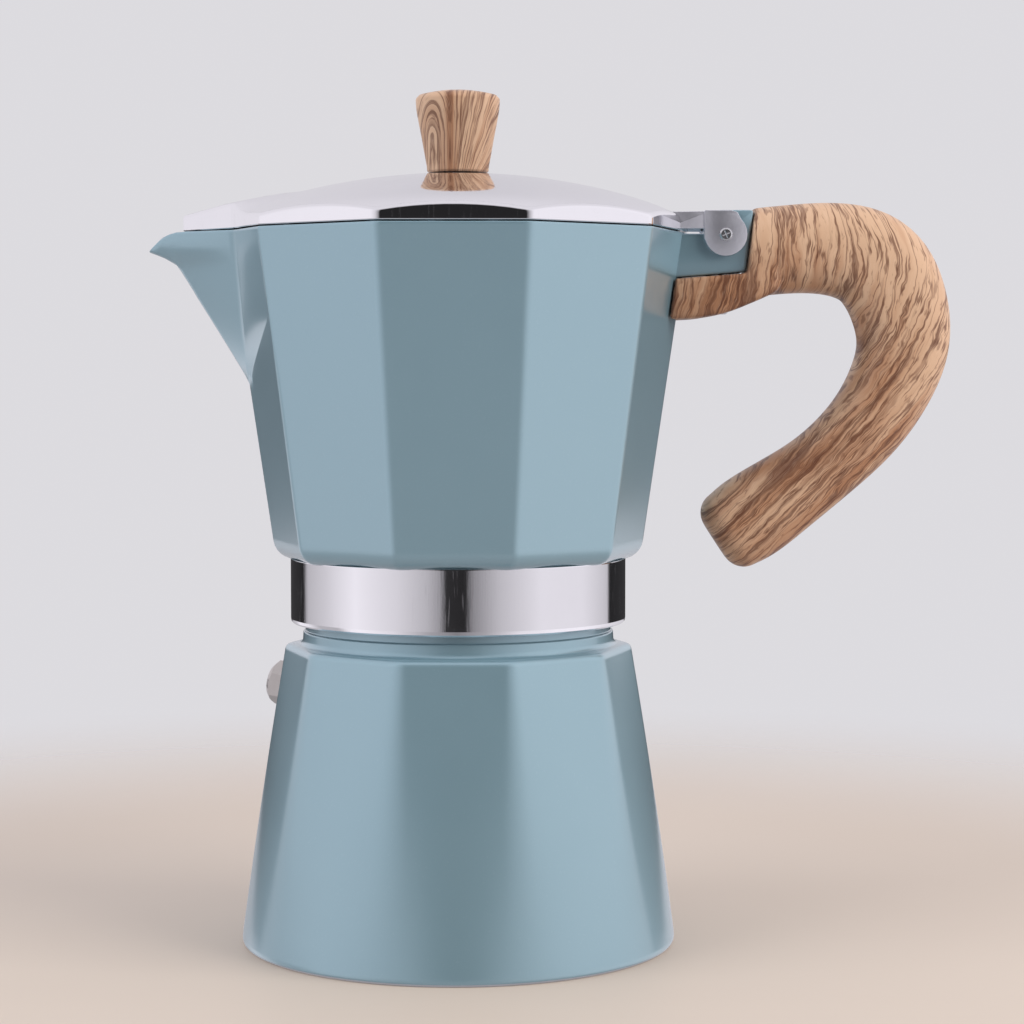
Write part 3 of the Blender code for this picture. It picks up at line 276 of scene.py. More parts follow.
HALF_FACET = math.pi / 10
boiler_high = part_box("boiler")[1]
BASE_RADIUS = boiler_high.x
SHOULDER_RADIUS = 0.0399
SHOULDER_Z = 0.0684
BOILER_BULGE = 0.00045
NECK_RADIUS = 0.0337
BEAD_RADIUS = 0.0356
BEAD_TOP = 0.0716
GROOVE_RADIUS = 0.0349  # of the step between the bead and the neck
MOUTH_RADIUS = 0.0302
neck_top = boiler_high.z


def clamped(value, low=0.0, high=1.0):
    return max(low, min(high, value))


def rounded(corners, looped=False, steps=5, guard=0.00025):
    """Points along a polyline of (a, b, radius) corners, each rounded, with a guard point at each side."""
    path = []
    count = len(corners)
    for i, corner in enumerate(corners):
        here = np.array(corner[:2], float)
        if not looped and i in (0, count - 1):
            path.append(here)
            continue
        before = here - np.array(corners[i - 1][:2])
        after = np.array(corners[(i + 1) % count][:2]) - here
        length_before, length_after = np.linalg.norm(before), np.linalg.norm(after)
        before, after = before / length_before, after / length_after
        turn_angle = math.acos(clamped(float(before @ after), -1.0))
        shorter = 0.42 * min(length_before, length_after)
        reach = min(max(corner[2] * math.tan(turn_angle / 2), 0.08 * shorter), shorter)
        start, end = here - before * reach, here + after * reach
        path.append(start - before * min(guard, 0.1 * length_before))
        for k in range(steps + 1):
            t = k / steps
            path.append((1 - t) ** 2 * start + 2 * t * (1 - t) * here + t ** 2 * end)
        path.append(end + after * min(guard, 0.1 * length_after))
    return path


def skin(name, rings, *finishes, looped=False, shades=None, flat_ends=False):
    """A closed skin over rings of points: joined when looped, else shut by flat ends or middle points."""
    bm = bmesh.new()
    rows = [[bm.verts.new(point) for point in ring] for ring in rings]
    pairs = list(zip(rows, rows[1:]))
    if looped:
        pairs.append((rows[-1], rows[0]))
    for level, (lower, upper) in enumerate(pairs):
        for i in range(len(lower)):
            after = (i + 1) % len(lower)
            face = bm.faces.new((lower[i], lower[after], upper[after], upper[i]))
            face.material_index = shades[level] if shades else 0
    if flat_ends:
        for row in (rows[0], rows[-1]):
            bm.faces.new(row)
    elif not looped:
        for row, shade in ((rows[0], 0), (rows[-1], len(pairs) - 1)):
            middle = bm.verts.new(sum((v.co for v in row), Vector()) / len(row))
            for i in range(len(row)):
                face = bm.faces.new((row[i], row[(i + 1) % len(row)], middle))
                face.material_index = shades[shade] if shades else 0
    return keep_mesh(name, bm, *finishes)


def round_ring(radius, z, count=96):
    step = 2 * math.pi / count
    return [Vector((radius * math.cos(i * step), radius * math.sin(i * step), z)) for i in range(count)]


def boiler_corner(z):
    """The boiler's radius at its corners at a height: a straight flare with a slight bulge."""
    t = z / SHOULDER_Z
    return BASE_RADIUS + (SHOULDER_RADIUS - BASE_RADIUS) * t + 4 * BOILER_BULGE * t * (1 - t)


foot = rounded([(0.0438, 0.0005, 0), (0.0446, 0.0005, 0.0003), (0.0452, 0, 0.0003),
                (0.0499, 0, 0.0016), (boiler_corner(0.0038), 0.0038, 0)])
wall = [(boiler_corner(z), z) for z in np.linspace(0.006, SHOULDER_Z - 0.0036, 16)]
shoulder = rounded([
    (boiler_corner(SHOULDER_Z - 0.0030), SHOULDER_Z - 0.0030, 0), (SHOULDER_RADIUS, SHOULDER_Z, 0.0030),
    (BEAD_RADIUS + 0.0001, SHOULDER_Z + 0.0003, 0.0013), (BEAD_RADIUS - 0.0001, BEAD_TOP, 0.0008),
    (GROOVE_RADIUS, BEAD_TOP + 0.0002, 0.0004), (GROOVE_RADIUS, 0.0742, 0),
])
neck = rounded([
    (GROOVE_RADIUS, 0.0744, 0), (NECK_RADIUS, 0.0746, 0.0002), (NECK_RADIUS, neck_top, 0.0005),
    (MOUTH_RADIUS, neck_top, 0.0004), (MOUTH_RADIUS, SHOULDER_Z + 0.0004, 0.002),
    (0.0352, 0.0632, 0.003), (boiler_corner(0.004) * math.cos(HALF_FACET) - 0.0026, 0.0032, 0.003),
    (0.020, 0.0030, 0),
])
boiler_rows = foot + wall + shoulder + neck
boiler_shades = [0 if row < len(foot) + len(wall) + len(shoulder) - 1 and z > 0.0003 else 1
                 for row, (r, z) in enumerate(boiler_rows)]
FACET_STEPS = (0, 0.4, 0.8, 1.3, 2.0, 3.0, 4.2, 5.5, 7.5, 10.0, 14.0, 18.0)  # degrees from a corner
corner_steps = sorted({-step for step in FACET_STEPS[:-1]} | set(FACET_STEPS))
facet_angles = [math.radians(36 * i + step) for i in range(10) for step in corner_steps]
boiler_rings = [
    [Vector((r * math.cos(a), r * math.sin(a), z)) for a in facet_angles] for r, z in boiler_rows
]
round_boiler = skin("round_boiler", boiler_rings, bare, paint, shades=boiler_shades)

# How ten-sided each point is, from 0 to 1: only the outer wall is, and less towards the foot.
sided = round_boiler.data.attributes.new("sided", "FLOAT", "POINT")
for vertex, value in zip(round_boiler.data.vertices, sided.data):
    radius = math.hypot(vertex.co.x, vertex.co.y)
    outer = radius > boiler_corner(vertex.co.z) - 0.0022
    if vertex.co.z > SHOULDER_Z - 0.0040:
        outer = clamped((radius - 0.0359) / 0.0030)
    value.value = outer * clamped(vertex.co.z / SHOULDER_Z)
# 1 on the faces that are painted.
painted_faces = round_boiler.data.attributes.new("painted", "FLOAT", "FACE")
for polygon, value in zip(round_boiler.data.polygons, painted_faces.data):
    value.value = 1.0 - polygon.material_index


def new_growth(name, inputs, shape_first=False):
    """A geometry tree with these named inputs: its inputs as Wires by name, and a Wire to build from."""
    tree = bpy.data.node_groups.new(name, "GeometryNodeTree")
    tree.interface.new_socket("Geometry", in_out="OUTPUT", socket_type="NodeSocketGeometry")
    if shape_first:
        tree.interface.new_socket("Geometry", in_out="INPUT", socket_type="NodeSocketGeometry")
    kinds = {float: "NodeSocketFloat", int: "NodeSocketInt"}
    for label, value in inputs.items():
        kind = kinds.get(type(value), "NodeSocketMaterial")
        socket = tree.interface.new_socket(label, in_out="INPUT", socket_type=kind)
        if kind != "NodeSocketMaterial":
            socket.default_value = value
    given = tree.nodes.new("NodeGroupInput")
    return {out.name: Wire(tree, out) for out in given.outputs if out.name}, Wire(tree)


def end_growth(start, shape, *finishes):
    """Ends a tree in Realize Instances and one Set Material for each (material, selection)."""
    shape = start.node("GeometryNodeRealizeInstances", {}, {0: shape})
    for finish, chosen in finishes:
        sockets = {"Geometry": shape, "Material": finish}
        if chosen is not None:
            sockets["Selection"] = chosen
        shape = start.node("GeometryNodeSetMaterial", {}, sockets)
    end = start.tree.nodes.new("NodeGroupOutput")
    start.tree.links.new(shape.socket, end.inputs[0])
    return start.tree


def plain_mesh(piece):
    """The piece's mesh with its modifiers applied."""
    bpy.context.view_layer.update()
    solid = piece.evaluated_get(bpy.context.evaluated_depsgraph_get())
    return bpy.data.meshes.new_from_object(solid)


def grown(name, tree, values, source=None):
    """Runs a geometry tree with these inputs, on a shape or on nothing, and keeps a plain mesh object."""
    made = source or bpy.data.objects.new(name, bpy.data.meshes.new(name))
    if source is None:
        bpy.context.scene.collection.objects.link(made)
    made.name = name
    growth = made.modifiers.new("growth", "NODES")
    growth.node_group = tree
    for item in tree.interface.items_tree:
        if item.in_out == "INPUT" and item.name in values:
            growth[item.identifier] = values[item.name]
    mesh = plain_mesh(made)
    made.modifiers.remove(growth)
    made.data = mesh
    mesh.name = name
    return made


given, start = new_growth("ten_sided_flare", {
    "Facets": 10, "Corner Rounding": 0.002, "Softening": 6.0, "Paint": paint, "Bare": bare,
}, shape_first=True)
spot = start.node("GeometryNodeInputPosition")
x, y, z = spot.axes()
corner_radius = start.maths("SQRT", x * x + y * y)
facet = 2 * math.pi / given["Facets"]
ring_place = start.maths("ARCTAN2", y, x) / facet
from_corner = start.maths("ABSOLUTE", ring_place - start.maths("ROUND", ring_place)) * facet
half = facet * 0.5
flat_radius = corner_radius * start.maths("COSINE", half)
flat = flat_radius / start.maths("COSINE", half - from_corner)
share = start.node("GeometryNodeInputNamedAttribute", {"data_type": "FLOAT"}, {"Name": "sided"})
edge = given["Corner Rounding"] * (1 + given["Softening"] * (1 - share))
edge_middle = (flat_radius - edge) / start.maths("COSINE", half)
across = edge_middle * start.maths("SINE", from_corner)
inside = start.maths("MAXIMUM", edge * edge - across * across, 0.0)
arc_radius = edge_middle * start.maths("COSINE", from_corner) + start.maths("SQRT", inside)
tangent_x = edge_middle + edge * start.maths("COSINE", half)
arc_half = start.maths("ARCTAN2", edge * start.maths("SINE", half), tangent_x)
on_arc = start.maths("LESS_THAN", from_corner, arc_half)
facet_radius = flat + on_arc * (arc_radius - flat)
factor = 1 + share * (facet_radius / start.maths("MAXIMUM", corner_radius, 1e-6) - 1)
moved = start.node("ShaderNodeCombineXYZ", {}, {0: x * factor, 1: y * factor, 2: z})
shaped = start.node("GeometryNodeSetPosition", {}, {"Geometry": given["Geometry"], "Position": moved})
painted = start.node("GeometryNodeInputNamedAttribute", {"data_type": "FLOAT"}, {"Name": "painted"})
painted = start.maths("GREATER_THAN", painted, 0.5)
flare = end_growth(start, shaped, (given["Bare"], None), (given["Paint"], painted))
boiler = grown("boiler_casting", flare, {
    "Facets": 10, "Corner Rounding": 0.0060, "Softening": 1.8, "Paint": paint, "Bare": bare,
}, round_boiler)
boiler.data.set_sharp_from_angle(angle=SHARP)
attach(boiler, "boiler")
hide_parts("boiler")


# ---- Neck thread ----------------------------------------------------------------------------------
# Two turns of rounded ridge, cut right-handed in the casting on the boiler's neck. It is left bare
# where the collar runs on it.

given, start = new_growth("screw_thread", {
    "Radius": 0.0337, "Depth": 0.0012, "Pitch": 0.003, "Turns": 2.0, "Start Height": 0.0, "Start Angle": 0.0,
    "Root Width": 0.0015, "Finish": bare,
})
path = start.node("GeometryNodeCurveSpiral", {}, {
    "Resolution": 96, "Rotations": given["Turns"], "Start Radius": given["Radius"],
    "End Radius": given["Radius"], "Height": given["Pitch"] * given["Turns"],
})
spun = start.node("GeometryNodeTransform", {}, {
    "Geometry": path,
    "Translation": start.node("ShaderNodeCombineXYZ", {}, {2: given["Start Height"]}),
    "Rotation": start.node("ShaderNodeCombineXYZ", {}, {2: given["Start Angle"]}),
})
along = start.node("GeometryNodeSplineParameter")
fade = start.maths("MINIMUM", along.eased(0.0, 0.05), (1 - along).eased(0.0, 0.05))
thick = start.node("GeometryNodeSetCurveRadius", {}, {"Curve": spun, "Radius": 0.35 + 0.65 * fade})
section = start.node("GeometryNodeCurvePrimitiveCircle", {}, {"Resolution": 10, "Radius": 1.0})
squeezed = start.node("GeometryNodeTransform", {}, {
    "Geometry": section,
    "Scale": start.node("ShaderNodeCombineXYZ", {}, {
        0: given["Depth"], 1: given["Root Width"] * 0.5, 2: 1.0,
    }),
})
ridge = start.node("GeometryNodeCurveToMesh", {}, {
    "Curve": thick, "Profile Curve": squeezed, "Fill Caps": True,
})
thread = end_growth(start, ridge, (given["Finish"], None))
THREAD_PITCH = 0.003
THREAD_TURNS = 2.0
neck_thread = grown("neck_thread", thread, {
    "Radius": NECK_RADIUS - 0.0001, "Depth": 0.0011, "Pitch": THREAD_PITCH, "Turns": THREAD_TURNS,
    "Start Height": 0.0752,
    "Root Width": 0.0015, "Finish": bare,
})
neck_thread.data.shade_smooth()
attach(neck_thread, "boiler")


# ---- Safety valve ---------------------------------------------------------------------------------
# A nickelled brass plug screwed through the boiler's wall, with a silicone washer outside, a nut
# inside, and a sprung plunger that lifts off its seat when the pressure is too high.

nickel, nickel_shader, at = new_finish("nickelled_brass", {"Metallic": 1.0})
place = at.coordinates()
stain = place.noise(320.0, 3.0)
at.plug(nickel_shader.inputs["Base Color"], at.blend(stain, (0.50, 0.46, 0.43, 1), (0.66, 0.63, 0.61, 1)))
at.plug(nickel_shader.inputs["Roughness"], 0.22 + 0.22 * stain)
at.plug(nickel_shader.inputs["Normal"], place.noise(1500.0, 2.0).bump(0.00001))

steel, steel_shader, at = new_finish("stainless_steel", {"Metallic": 1.0})
place = at.coordinates()
brushing = place.stretched(300, 300, 3000).noise(1.0, 2.0)
at.plug(steel_shader.inputs["Base Color"], at.blend(brushing, (0.55, 0.55, 0.56, 1), (0.68, 0.68, 0.69, 1)))
at.plug(steel_shader.inputs["Roughness"], 0.20 + 0.14 * brushing)

silicone, silicone_shader, at = new_finish("white_silicone", {"Specular IOR Level": 0.4})
place = at.coordinates()
dust = place.noise(140.0, 4.0)
at.plug(silicone_shader.inputs["Base Color"], at.blend(dust, (0.76, 0.75, 0.71, 1), (0.86, 0.86, 0.83, 1)))
at.plug(silicone_shader.inputs["Roughness"], 0.50 + 0.15 * dust)
at.plug(silicone_shader.inputs["Normal"], place.noise(2200.0, 1.0).bump(0.000015))

for turned_piece in ("valve_body", "valve_nut", "valve_retainer", "valve_plunger"):
    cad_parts[turned_piece].data.materials[0] = nickel
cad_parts["valve_washer"].data.materials[0] = silicone
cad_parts["valve_spring"].data.materials[0] = steel


# ---- Funnel ---------------------------------------------------------------------------------------
# Spun from thin aluminium: a basket for the coffee with a flange that hangs on the boiler's neck, a
# cone, and a stem fixed in the hole at the cone's tip. A perforated disc lies on the basket's floor.

def turned(name, corners, finish, count=96, steps=3):
    """A ring turned about Z from a closed outline of (radius, z, rounding) corners."""
    outline = rounded(corners, looped=True, steps=steps, guard=0.00015)
    return skin(name, [round_ring(r, z, count) for r, z in outline], finish, looped=True)


funnel_low, funnel_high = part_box("funnel")
disc_low, disc_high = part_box("funnel_disc")
stem_low, stem_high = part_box("funnel_stem")
SHEET = 0.0008
BASKET_RADIUS = 0.0296
flange_radius = funnel_high.x
basket_floor = disc_low.z - 0.0003
funnel = turned("coffee_funnel", [
    (0.0057, funnel_low.z, 0.0002), (0.0057, stem_high.z, 0.002),
    (0.0270, basket_floor - SHEET - 0.0012, 0.0012), (BASKET_RADIUS, basket_floor - SHEET, 0.0008),
    (BASKET_RADIUS, funnel_high.z - SHEET, 0.0004), (flange_radius, funnel_high.z - SHEET, 0.0003),
    (flange_radius, funnel_high.z, 0.0003), (BASKET_RADIUS - SHEET, funnel_high.z, 0.0008),
    (BASKET_RADIUS - SHEET, basket_floor, 0.0003), (0.0270, basket_floor, 0.0003),
    (0.0270, basket_floor - SHEET - 0.0008, 0.0012), (0.0049, stem_high.z + 0.0006, 0.002),
    (0.0049, funnel_low.z, 0.0002),
], bare)
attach(funnel, "funnel")
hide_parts("funnel")

stem_radius = stem_high.x
stem = turned("funnel_stem_tube", [
    (stem_radius, stem_low.z, 0.0002), (stem_radius, stem_high.z, 0.0002),
    (stem_radius - 0.0007, stem_high.z, 0.0002), (stem_radius - 0.0007, stem_low.z, 0.0002),
], bare, 48)
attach(stem, "funnel")
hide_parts("funnel_stem")

given, start = new_growth("punched_plate", {
    "Plate Radius": 0.03, "Punched Radius": 0.027, "Thickness": 0.0008, "Height": 0.0, "Hole Radius": 0.0005,
    "Spacing": 0.0027, "Rows": 25, "Finish": bare,
})
net = start.node("GeometryNodeMeshGrid", {}, {
    "Size X": given["Spacing"] * (given["Rows"] - 1), "Vertices X": given["Rows"],
    "Size Y": given["Spacing"] * (given["Rows"] - 1), "Vertices Y": given["Rows"],
})
net_x, net_y, _ = start.node("GeometryNodeInputPosition").axes()
row = start.maths("ROUND", net_y / given["Spacing"])
odd = start.maths("ABSOLUTE", start.maths("MODULO", row, 2.0))
staggered = start.node("ShaderNodeCombineXYZ", {}, {
    0: net_x + odd * given["Spacing"] * 0.5, 1: net_y * math.sin(math.pi / 3), 2: given["Height"],
})
net = start.node("GeometryNodeSetPosition", {}, {"Geometry": net, "Position": staggered})
far_x, far_y, _ = start.node("GeometryNodeInputPosition").axes()
hole_distance = start.maths("SQRT", far_x * far_x + far_y * far_y)
too_far = start.maths("GREATER_THAN", hole_distance, given["Punched Radius"])
places = start.node("GeometryNodeDeleteGeometry", {"domain": "POINT"}, {
    "Geometry": net, "Selection": too_far,
})
punch = start.node("GeometryNodeMeshCylinder", {}, {
    "Vertices": 8, "Radius": given["Hole Radius"],
    "Depth": given["Thickness"] * 3,  # sticks out on both sides
})
punches = start.node("GeometryNodeInstanceOnPoints", {}, {"Points": places, "Instance": punch})
punches = start.node("GeometryNodeRealizeInstances", {}, {0: punches})
blank = start.node("GeometryNodeMeshCylinder", {}, {
    "Vertices": 96, "Radius": given["Plate Radius"], "Depth": given["Thickness"],
})
blank = start.node("GeometryNodeTransform", {}, {
    "Geometry": blank, "Translation": start.node("ShaderNodeCombineXYZ", {}, {2: given["Height"]}),
})
plate = start.node("GeometryNodeMeshBoolean", {"operation": "DIFFERENCE"}, {
    "Mesh 1": blank, "Mesh 2": punches,
})
punched = end_growth(start, plate, (given["Finish"], None))

disc = grown("basket_disc", punched, {
    "Plate Radius": disc_high.x, "Punched Radius": 0.026, "Thickness": disc_high.z - disc_low.z,
    "Height": (disc_high.z + disc_low.z) / 2, "Hole Radius": 0.0006, "Spacing": 0.0032, "Rows": 21,
    "Finish": bare,
})
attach(disc, "funnel")
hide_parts("funnel_disc")


# ---- Gasket and filter plate ----------------------------------------------------------------------
# A flat silicone ring holds the finely punched filter plate in its seat under the upper chamber and
# seals against the funnel's flange when the collar is screwed down.

gasket_low, gasket_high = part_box("gasket")
gasket_bore = gasket_high.x - 0.0048
gasket = turned("seal_ring", [
    (gasket_high.x, gasket_low.z, 0.0005), (gasket_high.x, gasket_high.z, 0.0005),
    (gasket_bore, gasket_high.z, 0.0005), (gasket_bore, gasket_low.z, 0.0005),
], silicone)
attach(gasket, "gasket")
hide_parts("gasket")

filter_low, filter_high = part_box("filter_plate")
filter_plate = grown("punched_filter", punched, {
    "Plate Radius": filter_high.x, "Punched Radius": 0.0262, "Thickness": filter_high.z - filter_low.z,
    "Height": (filter_high.z + filter_low.z) / 2, "Hole Radius": 0.00045, "Spacing": 0.0025, "Rows": 25,
    "Finish": bare,
})
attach(filter_plate, "filter_plate")
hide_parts("filter_plate")


# ---- Collar ---------------------------------------------------------------------------------------
# The polished band between the two halves. It is the lower end of the upper casting, turned true,
# polished outside and threaded inside to screw onto the boiler's neck.

polished, polished_shader, at = new_finish("polished_aluminium", {"Metallic": 1.0})
place = at.coordinates()
haze = place.noise(70.0, 3.0)
grain = place.noise(2400.0, 2.0)
at.plug(polished_shader.inputs["Base Color"], at.blend(haze, (0.86, 0.85, 0.87, 1), (0.91, 0.90, 0.92, 1)))
scratches = place.stretched(2600, 2600, 130).noise(1.0, 1.0)
rubbed = scratches.eased(0.60, 0.72)
at.plug(polished_shader.inputs["Roughness"], 0.035 + 0.035 * haze + 0.015 * grain + 0.10 * rubbed)
at.plug(polished_shader.inputs["Normal"], (grain + 1.5 * scratches).bump(0.0000024))

chamber_low, chamber_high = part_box("upper_chamber")
COLLAR_RADIUS = 0.03835
COLLAR_BORE = 0.0356
collar_bottom = chamber_low.z
CHAMBER_BOTTOM = 0.0879
SEAT_RADIUS = 0.0328
collar = turned("collar_band", [
    (COLLAR_RADIUS, collar_bottom, 0.0011), (COLLAR_RADIUS, CHAMBER_BOTTOM + 0.0004, 0.0002),
    (SEAT_RADIUS, CHAMBER_BOTTOM + 0.0004, 0.0002), (SEAT_RADIUS, 0.0828, 0.0002),
    (COLLAR_BORE, 0.0827, 0.0003), (COLLAR_BORE, collar_bottom, 0.0004),
], polished, 160)
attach(collar, "upper")
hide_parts("upper_chamber")

collar_thread = grown("collar_thread", thread, {
    "Radius": COLLAR_BORE + 0.0001, "Depth": 0.0012, "Pitch": THREAD_PITCH, "Turns": THREAD_TURNS,
    "Start Height": 0.0745, "Start Angle": math.pi, "Root Width": 0.0013, "Finish": bare,
})
collar_thread.data.shade_smooth()
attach(collar_thread, "upper")


# ---- Upper chamber --------------------------------------------------------------------------------
# A ten-sided cup cast in one with its spout, painted outside and over the rim and bare inside. The
# spout grows out of the corner at -X: its flanks start on the facets beside it and meet in a keel.

FOOT_RADIUS = 0.0419
RIM_RADIUS = 0.0528
RIM_Z = 0.1622
CHAMBER_WALL = 0.0022
CHAMBER_FLOOR = 0.0032
BOTTOM_ROUNDING = 0.0040
INNER_ROUNDING = 0.0026
RIM_EDGE = 0.0004
SPOUT_ROOT_Z = 0.1285
FLANK_TOP_Z = 0.1430  # above it the flank takes the whole facet
TIP_Z = 0.1579
STRAIGHT_SHARE = 0.76  # of the keel's height, below its hook
STRAIGHT_REACH = 0.0126
HOOK_REACH = 0.0069


def chamber_corner(z):
    return FOOT_RADIUS + (RIM_RADIUS - FOOT_RADIUS) * (z - CHAMBER_BOTTOM) / (RIM_Z - CHAMBER_BOTTOM)


def keel_reach(z):
    """How far the spout's keel stands beyond the wall's corner: straight, then hooked outwards."""
    t = (z - SPOUT_ROOT_Z) / (RIM_Z - SPOUT_ROOT_Z)
    tip = (TIP_Z - SPOUT_ROOT_Z) / (RIM_Z - SPOUT_ROOT_Z)
    if t <= STRAIGHT_SHARE:
        return STRAIGHT_REACH * max(t, 0.0) / STRAIGHT_SHARE
    return STRAIGHT_REACH + HOOK_REACH * min(1.0, (t - STRAIGHT_SHARE) / (tip - STRAIGHT_SHARE)) ** 1.7


def lip_height(x):
    """The height of the rim at x: level, and falling in a curve along the spout to its tip."""
    lip_start, lip_end = -0.0626, -0.0707
    share_out = clamped((lip_start - x) / (lip_start - lip_end))
    return RIM_Z - (RIM_Z - TIP_Z) * share_out ** 2.2


def chamber_plan(z, inset):
    """The level outline of the wall as 14 rounded corners, offset inwards by a wall's thickness."""
    radius = chamber_corner(z)
    corners = []
    for i in range(10):
        angle = 2 * HALF_FACET * i
        if i != 5:
            corners.append((radius * math.cos(angle), radius * math.sin(angle), 0.0014))
            continue
        near = np.array(corners[-1][:2])
        keel = np.array((-radius - keel_reach(z), 0.0))
        rise = max(0.0, z - SPOUT_ROOT_Z) / (RIM_Z - SPOUT_ROOT_Z)
        tip = np.array((-radius, 0.0))
        low_share = clamped((FLANK_TOP_Z - z) / (FLANK_TOP_Z - SPOUT_ROOT_Z), 0.03, 0.86)
        branch = near + (tip - near) * low_share
        crease_y = max(0.0009, 0.0160 * rise ** 0.62)
        stand_out = 0.0020 * min(1.0, rise) ** 0.3
        crease = np.array((-radius + crease_y * math.tan(HALF_FACET) - stand_out, crease_y))
        if rise == 0:
            crease = near + (tip - near) * 0.95
        half = [(*branch, 0.004), (*crease, 0.006)]
        corners += half + [(*keel, 0.0016 if rise > 0.6 else 0.0014)]
        corners += [(cx, -cy, r) for cx, cy, r in reversed(half)]
    if not inset:
        return corners
    moved_in = []
    count = len(corners)
    for i, (cx, cy, r) in enumerate(corners):
        before = np.array((cx, cy)) - np.array(corners[i - 1][:2])
        after = np.array(corners[(i + 1) % count][:2]) - np.array((cx, cy))
        normals = [np.array((-d[1], d[0])) / np.linalg.norm(d) for d in (before, after)]
        offset = (normals[0] + normals[1]) / (1 + float(normals[0] @ normals[1])) * inset
        moved_in.append((cx + offset[0], cy + offset[1], max(0.0003, r * 0.8)))
    return moved_in


def divided(path_points, count, pieces):
    """Each straight between two rounded corners, of count points each, cut into equal pieces."""
    finer = []
    for i, here in enumerate(path_points):
        finer.append(here)
        after = path_points[(i + 1) % len(path_points)]
        if i % count == count - 1:
            finer += [here + (after - here) * k / pieces for k in range(1, pieces)]
    return finer


LEVELS = np.linspace(CHAMBER_BOTTOM - 0.001, RIM_Z + 0.001, 220)
outside_plans = np.array([divided(rounded(chamber_plan(z, 0), looped=True), 8, 9) for z in LEVELS])
inside_plans = np.array([divided(rounded(chamber_plan(z, CHAMBER_WALL), looped=True), 8, 9) for z in LEVELS])


def plan_point(plans, column, z):
    """One point of an outline at any height between the levels."""
    place = (z - LEVELS[0]) / (LEVELS[-1] - LEVELS[0]) * (len(LEVELS) - 1)
    low = min(int(place), len(LEVELS) - 2)
    return plans[low, column] + (plans[low + 1, column] - plans[low, column]) * (place - low)


def wall_top(plans, column):
    """The height where a column of the wall ends at the lip."""
    z = RIM_Z
    for _ in range(40):
        z = 0.5 * z + 0.5 * lip_height(plan_point(plans, column, z)[0])
    return z


def wall_ring(plans, share_up, low, drop=0.0, inset=0.0):
    """A ring of the wall, this share of the way from a low level to the lip."""
    ring = []
    for column in range(plans.shape[1]):
        top = wall_top_heights[column] - drop
        z = low + (top - low) * share_up
        px, py = plan_point(plans, column, z)
        length = math.hypot(px, py)
        ring.append(Vector((px * (1 - inset / length), py * (1 - inset / length), z)))
    return ring


wall_top_heights = [wall_top(outside_plans, column) for column in range(outside_plans.shape[1])]
rings = [wall_ring(outside_plans, 0, CHAMBER_BOTTOM, inset=BOTTOM_ROUNDING + 0.004)]
for step in range(7):
    angle = math.radians(15 * step)
    inset = BOTTOM_ROUNDING * (1 - math.sin(angle))
    height = CHAMBER_BOTTOM + BOTTOM_ROUNDING * (1 - math.cos(angle))
    rings.append(wall_ring(outside_plans, 0, height, inset=inset))
levels_up = [0.01] + [i / 44 for i in range(1, 44)] + [0.988]
rings += [wall_ring(outside_plans, up_share, CHAMBER_BOTTOM + BOTTOM_ROUNDING) for up_share in levels_up]
for step in range(4):
    angle = math.radians(30 * step)
    drop, inset = RIM_EDGE * (1 - math.sin(angle)), RIM_EDGE * (1 - math.cos(angle))
    rings.append(wall_ring(outside_plans, 1, 0, drop, inset))
painted_rows = len(rings)
wall_top_heights = [wall_top(inside_plans, column) for column in range(inside_plans.shape[1])]
rings.append(wall_ring(inside_plans, 1, 0, 0, -RIM_EDGE))
rings.append(wall_ring(inside_plans, 1, 0, RIM_EDGE))
floor_top = CHAMBER_BOTTOM + CHAMBER_FLOOR
for share_up in np.linspace(0.985, 0, 36):
    rings.append(wall_ring(inside_plans, share_up, floor_top + INNER_ROUNDING))
for step in range(1, 5):
    angle = math.radians(22.5 * step)
    inset = INNER_ROUNDING * (1 - math.cos(angle))
    height = floor_top + INNER_ROUNDING * (1 - math.sin(angle))
    rings.append(wall_ring(inside_plans, 0, height, inset=inset))
rings.append(wall_ring(inside_plans, 0, floor_top, inset=0.012))
shades = [0 if row < painted_rows + 1 else 1 for row in range(len(rings))]
chamber = skin("upper_casting", rings, paint, bare, shades=shades)
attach(chamber, "upper")
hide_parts("upper_chamber")


# ---- Hinge lug ------------------------------------------------------------------------------------
# The block cast on the chamber's rim opposite the spout, painted with it. The hinge pin runs through
# it and the handle's screw comes up into it from below.

def cut_slab(name, corners, low_y, high_y, edge, *finishes):
    """A plate between two values of y, its (x, z) outline given anticlockwise, its long edges rounded."""
    outline = rounded(corners, looped=True, steps=4, guard=0.0001)
    rings = []
    for y, shrink in ((low_y, edge), (low_y + 0.3 * edge, 0.3 * edge), (low_y + edge, 0),
                      (high_y - edge, 0), (high_y - 0.3 * edge, 0.3 * edge), (high_y, edge)):
        ring = []
        for i, point in enumerate(outline):
            tangent = outline[(i + 1) % len(outline)] - outline[i - 1]
            normal = np.array((tangent[1], -tangent[0])) / max(np.linalg.norm(tangent), 1e-9)
            inner = point - normal * shrink
            ring.append(Vector((inner[0], y, inner[1])))
        rings.append(ring)
    return skin(name, rings, *finishes, flat_ends=True)


def rod(name, start, end, radius, *finishes, count=24):
    """A straight round bar between two points, used to bore holes."""
    start, end = Vector(start), Vector(end)
    turn_to = (end - start).to_track_quat("Z", "Y").to_matrix()
    rings = [[spot + turn_to @ spoke for spoke in round_ring(radius, 0, count)] for spot in (start, end)]
    return skin(name, rings, *finishes)


